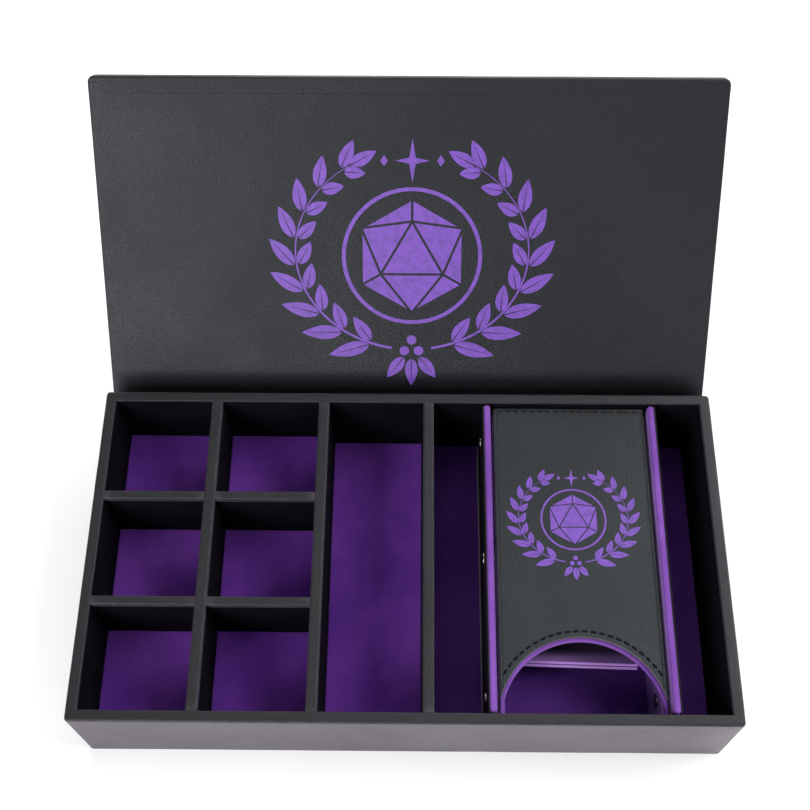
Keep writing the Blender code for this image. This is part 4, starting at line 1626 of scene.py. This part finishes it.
@dataclass(frozen=True)
class Lid:
    """The leather-covered lid, modelled shut and turned open."""

    low: Point = (-0.1750, -0.0940, 0.0629)
    high: Point = (0.1750, 0.0960, 0.0715)
    turn_in: float = 0.0092
    corner_round: float = 0.0036
    edge_round: float = 0.0018
    inner_round: float = 0.0013
    skin: float = 0.0009
    strip: float = 0.0060
    wave: float = 0.00020
    wave_length: float = 0.040
    cover_shift: float = 0.31
    lining_shift: float = 0.17
    lining_overlap: float = 0.0003
    lining_proud: float = 0.00014
    lining_thickness: float = 0.0010
    hollow_start: float = 0.0715
    hollow_end: float = 0.1680
    hollow_fade: float = 0.0150
    hollow_depth: float = 0.0054
    hollow_curve: float = 2.2
    open_angle: float = math.radians(-131.0)
    pivot: Point = (0.0, 0.0930, 0.0524)
    emblem_width: float = 0.166
    emblem_place: tuple[float, float] = (0.0022, 0.0059)

    def opened(self) -> Matrix:
        """The move from the shut lid to the open one."""
        pivot = Matrix.Translation(self.pivot)
        return pivot @ Matrix.Rotation(self.open_angle, 4, "X") @ pivot.inverted()

    def build(self) -> None:
        """Builds the cover, the lining and the emblem."""
        self.build_cover()
        self.build_lining()
        face = self.low[2] - self.lining_proud
        x, y = self.emblem_place
        place = Matrix.Translation((x, y, face)) @ Matrix.Rotation(math.pi, 4, "X")
        emblem = Emblem(self.emblem_width).build("lid_emblem", self.opened() @ place)
        fit(emblem, Body.LID, INK)

    def build_cover(self) -> None:
        """Covers the lid in leather, turned in round its inner face."""
        cover = block("lid_cover_leather", self.low, self.high)
        with editing(cover):
            pick(cover, Pick.EDGE, is_upright)
            bevel_picked(self.corner_round, MOST)
            pick(cover, Pick.EDGE, lambda edge: is_level(edge, self.high[2]))
            bevel_picked(self.edge_round, MANY)
            pick(cover, Pick.EDGE, lambda edge: is_level(edge, self.low[2]))
            bevel_picked(self.inner_round, MORE)
            for place, axis in (
                (self.low[0] + self.turn_in, Axis.X),
                (self.high[0] - self.turn_in, Axis.X),
                (self.low[1] + self.turn_in, Axis.Y),
                (self.high[1] - self.turn_in, Axis.Y),
            ):
                cut_across(axis, place)
            pick(cover, Pick.FACE, self.is_behind_lining)
            bpy.ops.mesh.delete(type="FACE")
        divide(cover, self.strip, Axis.X, Axis.Y)
        mark_edges(cover)
        self.hollow(cover)
        ripple(cover, self.wave, self.wave_length, self.cover_shift)
        apply_modifier(cover, "SOLIDIFY", thickness=self.skin, offset=-1.0)
        smooth(cover)
        place_by(cover, self.opened())
        fit(cover, Body.LID, LID_LEATHER, ["lid_cover", "lid_board"])

    def is_behind_lining(self, face: object) -> bool:
        """Whether a face of the shut lid's underside lies inside the turned-in edge.

        Args:
            face: a face of the cover.

        Returns:
            True where the lining hides it.
        """
        middle = face.calc_center_median()
        inside = (
            self.low[axis] + self.turn_in < middle[axis] < self.high[axis] - self.turn_in
            for axis in (0, 1)
        )
        return face.normal.z < -SQUARE and all(inside)

    def hollow(self, piece: bpy.types.Object) -> None:
        """Draws the inner leather back towards the hinge, as it lies where it meets the fold.

        Args:
            piece: the shut lid's cover or lining.
        """
        for vertex in piece.data.vertices:
            x, y, z = vertex.co
            if z > self.low[2] + self.inner_round + NEAR:
                continue
            back = min(1.0, max(0.0, (y - self.hollow_start) / (self.high[1] - self.hollow_start)))
            out = min(1.0, max(0.0, (self.hollow_end - abs(x)) / self.hollow_fade))
            vertex.co.z += self.hollow_depth * back**self.hollow_curve * out * out * (3 - 2 * out)

    def build_lining(self) -> None:
        """Lays the leather sheet that hides the board inside the turned-in edge."""
        inset = self.turn_in - self.lining_overlap
        face = self.low[2] - self.lining_proud
        lining = block(
            "lid_lining_sheet",
            (self.low[0] + inset, self.low[1] + inset, face),
            (self.high[0] - inset, self.high[1] - inset, face + self.lining_thickness),
        )
        round_edges(lining, self.lining_proud)
        divide(lining, self.strip, Axis.X, Axis.Y)
        mark_edges(lining)
        self.hollow(lining)
        ripple(lining, self.wave / 2, self.wave_length, self.lining_shift)
        smooth(lining)
        place_by(lining, self.opened())
        fit(lining, Body.LID, LID_LEATHER, ["lid_lining"])


# ---------------------------------------------------------------- tower


@dataclass(frozen=True)
class Side:
    """One side of the tower: its panel's body and which way is outward."""

    name: str
    body: Body
    out: int

    def face(self, node: str, out: int) -> float:
        """Where a node of this side ends along X, outward or inward."""
        low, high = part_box(f"{self.name}_{node}")
        return low.x if out < 0 else high.x


SIDES = (Side("left", Body.LEFT_PANEL, -1), Side("right", Body.RIGHT_PANEL, 1))
RAMPS = ("mouth_ramp", "middle_ramp", "entry_ramp")


@dataclass(frozen=True)
class Stitching:
    """A row of stitches in thick thread."""

    length: float = 0.0037
    pitch: float = 0.0046
    radius: float = 0.00062
    sides: int = 8
    sink: float = 0.00036
    parts: int = 5
    taper: float = 0.45

    def one(self) -> bpy.types.Object:
        """One stitch along X, bowed up in its middle with its ends going into the leather.

        Returns:
            The stitch, with its middle at the origin.
        """
        half = self.length / 2
        stitch = rod("stitch", self.radius, ((-half, 0, 0), (half, 0, 0)), self.sides)
        divide(stitch, self.length / self.parts, Axis.X)
        with editing(stitch):
            pick(stitch, Pick.VERT, lambda vertex: abs(vertex.co.x) > half - NEAR)
            slimmer = (1, self.taper, self.taper)
            bpy.ops.transform.resize(value=slimmer, center_override=(0, 0, 0))
            bpy.ops.transform.translate(value=(0, 0, -self.sink))
        take(stitch)
        bpy.ops.object.shade_smooth()
        return stitch

    def row(self, name: str, places: Sequence[Matrix]) -> bpy.types.Object:
        """Sews a row.

        Args:
            name: the piece's name.
            places: where each stitch goes.

        Returns:
            The joined stitches.
        """
        first = self.one()
        copies = [copy_piece(first, "stitch", place) for place in places]
        bpy.data.objects.remove(first, do_unlink=True)
        return join(name, copies)


@dataclass(frozen=True)
class Stud:
    """A turned press stud: its profile goes outward from the axis, in (radius, height)."""

    profile: Outline
    steps: int = 24

    def build(self, name: str, place: Matrix) -> bpy.types.Object:
        """Turns the stud.

        Args:
            name: the piece's name.
            place: the stud's foot and axis.

        Returns:
            The finished stud.
        """
        stud = flat_shape(name, [self.profile], 0.0, closed=False)
        place_by(stud, Matrix.Rotation(math.pi / 2, 4, "X"))
        with editing(stud):
            bpy.ops.mesh.select_all(action="SELECT")
            bpy.ops.mesh.spin(steps=self.steps, angle=math.tau, center=(0, 0, 0), axis=(0, 0, 1))
            bpy.ops.mesh.select_all(action="SELECT")
            bpy.ops.mesh.remove_doubles(threshold=NEAR)
            bpy.ops.mesh.normals_make_consistent(inside=False)
        place_by(stud, place)
        smooth(stud)
        return stud


@dataclass(frozen=True)
class Tower:
    """The folding dice tower, lying on its back with its mouth to the front."""

    arch_radius: float = 0.0450
    arch_setback: float = 0.0034
    arch_sides: int = 160
    face_round: float = 0.0006
    face_trim: float = 0.0016
    wall_trim: float = 0.0013
    velvet_band: float = 0.0022
    piping_radius: float = 0.00042
    facing: float = 0.0008
    panel_round: float = 0.0019
    wall_round: float = 0.0008
    back_round: float = 0.0008
    back_leather: float = 0.0008
    ramp_length: float = 0.0260
    ramp_thickness: float = 0.0035
    ramp_core: float = 0.0005
    ramp_round: float = 0.0007
    ramp_half: float = 0.0343
    ramp_tab_half: float = 0.0449
    tab_length: float = 0.0100
    ramp_angle: float = math.radians(45.0)
    slot_gap: float = 0.0012
    mouth_turn: float = math.radians(-1.5)
    mouth_setback: float = 0.0009
    # How far back from a ramp's front edge the painted light fades into the painted shade.
    worn_reach: float = 0.0165
    spare_slot: tuple[Point, Point] = ((-0.0050, -0.07425, 0.0308), (0.0050, -0.07425, 0.0330))
    strip: float = 0.0060
    rear_thread: Stitching = Stitching(length=0.0030, radius=0.00036, sink=0.00026)
    arch_seam: float = 0.0031
    rear_seam: float = 0.0020
    side_seam: float = 0.0016
    hem_radius: float = 0.00025
    hem_sides: int = 8
    face_wave: Point = (0.00012, 0.04, 0.4)
    back_wave: Point = (0.0002, 0.03, 0.9)
    panel_wave: Point = (0.00015, 0.03, 0.6)
    piping_sides: int = 10
    piping_steps: int = 72
    hinge_strip: float = 0.0005
    hinge_bend: tuple[float, float] = (0.0100, 0.0115)
    emblem_width: float = 0.0763
    emblem_place: tuple[float, float] = (0.0931, 0.0198)
    cap: Stud = Stud(
        [(0.0, -0.0040), (0.0014, -0.0040), (0.0014, -0.0001), (0.0041, -0.0001)]
        + [(0.0042, 0.0002), (0.0041, 0.0006), (0.0037, 0.0009), (0.0034, 0.0008)]
        + [(0.0026, 0.0011), (0.0014, 0.0013), (0.0, 0.00135)]
    )
    head: Stud = Stud(
        [(0.0, -0.0042), (0.0014, -0.0042), (0.0014, 0.0), (0.0034, 0.0), (0.0035, 0.0003)]
        + [(0.0032, 0.0008), (0.0026, 0.0010), (0.0022, 0.0008), (0.0012, 0.0009), (0.0, 0.0011)]
    )

    def build(self) -> None:
        """Builds every piece of the tower."""
        self.build_face()
        self.build_lining()
        self.build_piping()
        self.build_seams()
        self.build_back()
        for side in SIDES:
            self.build_inner_wall(side)
            self.build_panel(side)
            self.build_studs(side)
            self.build_hinge(side)
        for node in RAMPS:
            self.build_ramp(node)
        x, y = self.emblem_place
        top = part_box("tower_face")[1].z
        place = Matrix.Translation((x, y, top))
        emblem = Emblem(self.emblem_width).build("tower_emblem", place)
        fit(emblem, Body.TOWER, INK)

    @property
    def arch_middle(self) -> Vector:
        """The middle of the mouth's arch, a little in front of the tower."""
        low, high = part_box("tower_face_lining")
        return Vector(((low.x + high.x) / 2, low.y - self.arch_setback, 0))

    def trimmed(self, node: str) -> tuple[Vector, Vector]:
        """The box of a sheet of the face, cut back so that it stays clear of the panels.

        Args:
            node: the sheet.

        Returns:
            Its lowest and highest corner.
        """
        low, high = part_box(node)
        trim = Vector((self.face_trim, 0, 0))
        return low + trim, high - trim

    def arch_cutter(self, radius: float, low: float, high: float) -> bpy.types.Object:
        """The upright round cutter for the mouth's arch, from a low to a high place."""
        x, y, _ = self.arch_middle
        return rod("arch_cutter", radius, ((x, y, low), (x, y, high)), self.arch_sides)

    def build_face(self) -> None:
        """Cuts the leather face with its arch."""
        low, high = self.trimmed("tower_face")
        face = block("tower_face_leather", low, high)
        carve(face, self.arch_cutter(self.arch_radius, low.z - self.strip, high.z + self.strip))
        round_edges(face, self.face_round)
        mark_edges(face)
        rear, left, right = high.y - self.rear_seam, low.x + self.side_seam, high.x - self.side_seam
        corners = ((left, low.y), (left, rear), (right, rear), (right, low.y))
        for first, last in zip(corners, corners[1:]):
            ends = ((*first, high.z), (*last, high.z))
            carve(face, rod("hem_cutter", self.hem_radius, ends, self.hem_sides))
        divide(face, self.strip, Axis.X, Axis.Y)
        ripple(face, *self.face_wave)
        smooth(face)
        fit(face, Body.TOWER, FACE_LEATHER, ["tower_face"])

    def build_lining(self) -> None:
        """Cuts the velvet layer that shows as a band round the mouth."""
        low, high = self.trimmed("tower_face_lining")
        lining = block("mouth_velvet", low, high)
        radius = self.arch_radius - self.velvet_band
        carve(lining, self.arch_cutter(radius, low.z - self.strip, high.z + self.strip))
        round_edges(lining, self.face_round)
        smooth(lining)
        fit(lining, Body.TOWER, BOARD_VELVET, ["tower_face_lining"])

    def build_piping(self) -> None:
        """Runs a thin rolled edge along the leather's arch."""
        low, high = self.trimmed("tower_face")
        middle = self.arch_middle
        start = math.acos((high.x - low.x) / 2 / self.arch_radius)
        level = high.z - self.piping_radius
        deselect()
        bpy.ops.mesh.primitive_circle_add(
            vertices=self.piping_sides,
            radius=self.piping_radius,
            fill_type="NGON",
            location=(*polar(self.arch_radius, start), 0),
            rotation=(math.pi / 2, 0, start),
        )
        piping = bpy.context.object
        piping.name = "arch_piping"
        settle(piping)
        with editing(piping):
            bpy.ops.mesh.select_all(action="SELECT")
            sweep = math.pi - 2 * start
            bpy.ops.mesh.spin(
                steps=self.piping_steps, angle=sweep, center=(0, 0, 0), axis=(0, 0, -1)
            )
            bpy.ops.mesh.select_all(action="SELECT")
            bpy.ops.mesh.remove_doubles(threshold=NEAR)
            bpy.ops.mesh.normals_make_consistent(inside=False)
        place_by(piping, Matrix.Translation((middle.x, middle.y, level)))
        smooth(piping)
        fit(piping, Body.TOWER, CUT_EDGE)

    def build_seams(self) -> None:
        """Sews the face along its arch and its rear end."""
        low, high = self.trimmed("tower_face")
        middle = self.arch_middle
        thread = Stitching()
        radius = self.arch_radius + self.arch_seam
        start = math.acos(((high.x - low.x) / 2 - self.side_seam) / radius)
        count = round(radius * (math.pi - 2 * start) / thread.pitch)
        arch = []
        for number in range(count):
            turn = start + (math.pi - 2 * start) * (number + 0.5) / count
            spot = Matrix.Translation((*(middle.xy + Vector(polar(radius, turn))), high.z))
            arch.append(spot @ Matrix.Rotation(turn + math.pi / 2, 4, "Z"))
        fit(thread.row("arch_stitches", arch), Body.TOWER, BLACK_THREAD)
        rear = high.y - self.rear_seam
        count = round((high.x - low.x - 2 * self.side_seam) / thread.pitch)
        first = low.x + self.side_seam
        across = [
            Matrix.Translation((first + (number + 0.5) * thread.pitch, rear, high.z))
            for number in range(count)
        ]
        fit(self.rear_thread.row("rear_stitches", across), Body.TOWER, BLACK_THREAD)

    def build_back(self) -> None:
        """Builds the tower's floor: a velvet board with leather under it."""
        low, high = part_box("tower_back")
        seam = low.z + self.back_leather
        back = block("tower_floor_velvet", (low.x, low.y, seam), high)
        round_edges(back, self.back_round)
        divide(back, self.strip, Axis.Y, Axis.X)
        ripple(back, *self.back_wave)
        smooth(back)
        # The tower's floor takes the darker velvet, as painted shade under the face.
        fit(back, Body.TOWER, SHADED_FLOOR_VELVET, ["tower_back"])
        under = block("tower_back_leather", low, (high.x, high.y, seam))
        round_edges(under, self.back_leather / 3, FEW)
        mark_edges(under)
        smooth(under)
        fit(under, Body.TOWER, CASE_LEATHER)

    def build_inner_wall(self, side: Side) -> None:
        """Builds one velvet inner wall with the slots that the ramps' tabs reach through.

        Args:
            side: left or right.
        """
        node = f"{side.name}_inner_wall"
        low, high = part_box(node)
        if side.out < 0:
            low.x += self.wall_trim
        else:
            high.x -= self.wall_trim
        wall = block(f"{side.name}_wall_velvet", low, high)
        middle = (low.x + high.x) / 2
        half = (high.x - low.x) / 2 + self.facing
        tab = self.tab_length / 2 + self.slot_gap
        for ramp in RAMPS:
            corner = Vector((half, tab, self.ramp_thickness / 2 + self.slot_gap))
            slot = block("slot_cutter", -corner, corner)
            place_by(slot, Matrix.Translation((middle, 0, 0)) @ self.ramp_place(ramp))
            carve(wall, slot)
        first, last = self.spare_slot
        spare = block(
            "spare_cutter",
            (middle - half, first[1] + first[0], first[2]),
            (middle + half, last[1] + last[0], last[2]),
        )
        carve(wall, spare)
        round_edges(wall, self.wall_round)
        smooth(wall)
        fit(wall, Body.TOWER, BOARD_VELVET, [node])

    def build_panel(self, side: Side) -> None:
        """Builds one outer panel: a velvet board faced with leather on its outer side.

        Args:
            side: left or right.
        """
        node = f"{side.name}_outer_panel"
        low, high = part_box(node)
        inner_low, inner_high = low.copy(), high.copy()
        outer_low, outer_high = low.copy(), high.copy()
        if side.out < 0:
            inner_low.x += self.facing
            outer_high.x = low.x + self.facing
        else:
            inner_high.x -= self.facing
            outer_low.x = high.x - self.facing
        outer_high.z -= self.panel_round / 2
        panel = block(f"{side.name}_panel_velvet", inner_low, inner_high)
        round_edges(panel, self.panel_round - self.facing / 4, MANY)
        divide(panel, self.strip, Axis.Y, Axis.Z)
        ripple(panel, *self.panel_wave)
        smooth(panel)
        fit(panel, side.body, BOARD_VELVET, [node])
        facing = block(f"{side.name}_panel_leather", outer_low, outer_high)
        round_edges(facing, self.facing / 3, FEW)
        mark_edges(facing)
        smooth(facing)
        # The facing takes the darker leather, as painted shade on the panel's outer side.
        fit(facing, side.body, SHADED_PANEL_LEATHER)

    def build_studs(self, side: Side) -> None:
        """Fits one side's press studs: caps on the panel, heads inside the inner wall.

        Args:
            side: left or right.
        """
        panel = side.face("outer_panel", side.out)
        wall = side.face("inner_wall", -side.out)
        for spot in ("front", "middle", "rear"):
            low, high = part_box(f"{side.name}_stud_cap_{spot}")
            _, y, z = (low + high) / 2
            for kind, stud, x, out, body in (
                ("cap", self.cap, panel, side.out, side.body),
                ("head", self.head, wall, -side.out, Body.TOWER),
            ):
                turn = Matrix.Rotation(out * math.pi / 2, 4, "Y")
                place = Matrix.Translation((x, y, z)) @ turn
                piece = stud.build(f"{side.name}_{kind}_{spot}", place)
                fit(piece, body, STUD_METAL, [f"{side.name}_stud_{kind}_{spot}"])

    def build_hinge(self, side: Side) -> None:
        """Builds the leather strip that one outer panel swings on.

        Args:
            side: left or right.
        """
        node = f"{side.name}_panel_hinge"
        low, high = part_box(node)
        hinge = block(f"{side.name}_hinge_leather", low, high)
        round_edges(hinge, (high.x - low.x) / 3, FEW)
        divide(hinge, self.strip, Axis.Y)
        divide(hinge, self.hinge_strip, Axis.Z)
        smooth(hinge)
        mark_edges(hinge)
        start, end = ((low.x, 0, z) for z in self.hinge_bend)
        drape(hinge, (Body.TOWER, side.body), start, end, node)

    def ramp_place(self, node: str) -> Matrix:
        """A ramp's middle and slope, with its length along Y.

        Args:
            node: the ramp.

        Returns:
            The move from a flat ramp at the origin, without its place along X.
        """
        low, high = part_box(node)
        slope = self.ramp_angle if node == "middle_ramp" else -self.ramp_angle
        middle = (low + high) / 2
        back = self.mouth_setback if node == "mouth_ramp" else 0.0
        return Matrix.Translation((0, middle.y + back, middle.z)) @ Matrix.Rotation(slope, 4, "X")

    def build_ramp(self, node: str) -> None:
        """Builds one ramp: two velvet boards on a dark core, with a tab at either end.

        Args:
            node: the ramp.
        """
        low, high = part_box(node)
        middle = (low.x + high.x) / 2
        turn = Matrix.Rotation(self.mouth_turn if node == "mouth_ramp" else 0.0, 4, "Z")
        there = self.ramp_place(node)
        shift = Matrix.Translation(Vector((middle, 0, 0)) + there.translation)
        place = shift @ turn @ there.to_3x3().to_4x4()
        run, tab = self.ramp_length / 2, self.tab_length / 2
        outline = self.ramp_outline(self.ramp_half, self.ramp_tab_half, run, tab)
        layer = (self.ramp_thickness - self.ramp_core) / 2
        level = (self.ramp_core + layer) / 2
        layers = []
        for name, height in (("upper", level), ("lower", -level)):
            board = flat_shape(f"{node}_{name}", [outline], layer)
            round_edges(board, self.ramp_round)
            divide(board, self.strip / 3, Axis.Y)
            self.mark_brushed(board, -run)
            place_by(board, place @ Matrix.Translation((0, 0, height)))
            layers.append(board)
        velvet = join(f"{node}_velvet", layers)
        smooth(velvet)
        fit(velvet, Body.TOWER, SHADED_RAMP_VELVET, [node])
        inset = self.ramp_round / 2
        outline = self.ramp_outline(
            self.ramp_half - inset, self.ramp_tab_half - inset, run - inset, tab - inset
        )
        core = flat_shape(f"{node}_core", [outline], self.ramp_core + self.ramp_round)
        place_by(core, place)
        fit(core, Body.TOWER, WALL_SUEDE)

    def mark_brushed(self, board: bpy.types.Object, front: float) -> None:
        """Stores how near each point is to a ramp's front edge, where the velvet gets painted light
        that fades back into painted shade.

        Args:
            board: the flat board.
            front: the place of that edge along Y.
        """
        values = [max(0.0, 1 - (v.co.y - front) / self.worn_reach) for v in board.data.vertices]
        attribute = board.data.attributes.new("edge", "FLOAT", "POINT")
        attribute.data.foreach_set("value", values)

    @staticmethod
    def ramp_outline(half: float, tip: float, run: float, tab: float) -> Outline:
        """A ramp's outline with its tabs: half its width, a tab's tip, half lengths of both."""
        right = [(half, -run), (half, -tab), (tip, -tab), (tip, tab), (half, tab), (half, run)]
        return right + [(-x, -y) for x, y in right]


def main() -> None:
    """Builds the studio and the box."""
    logging.basicConfig(level=logging.INFO, format="%(message)s")
    Studio().build()
    Case().build()
    Lid().build()
    Tower().build()


if __name__ == "__main__":
    main()
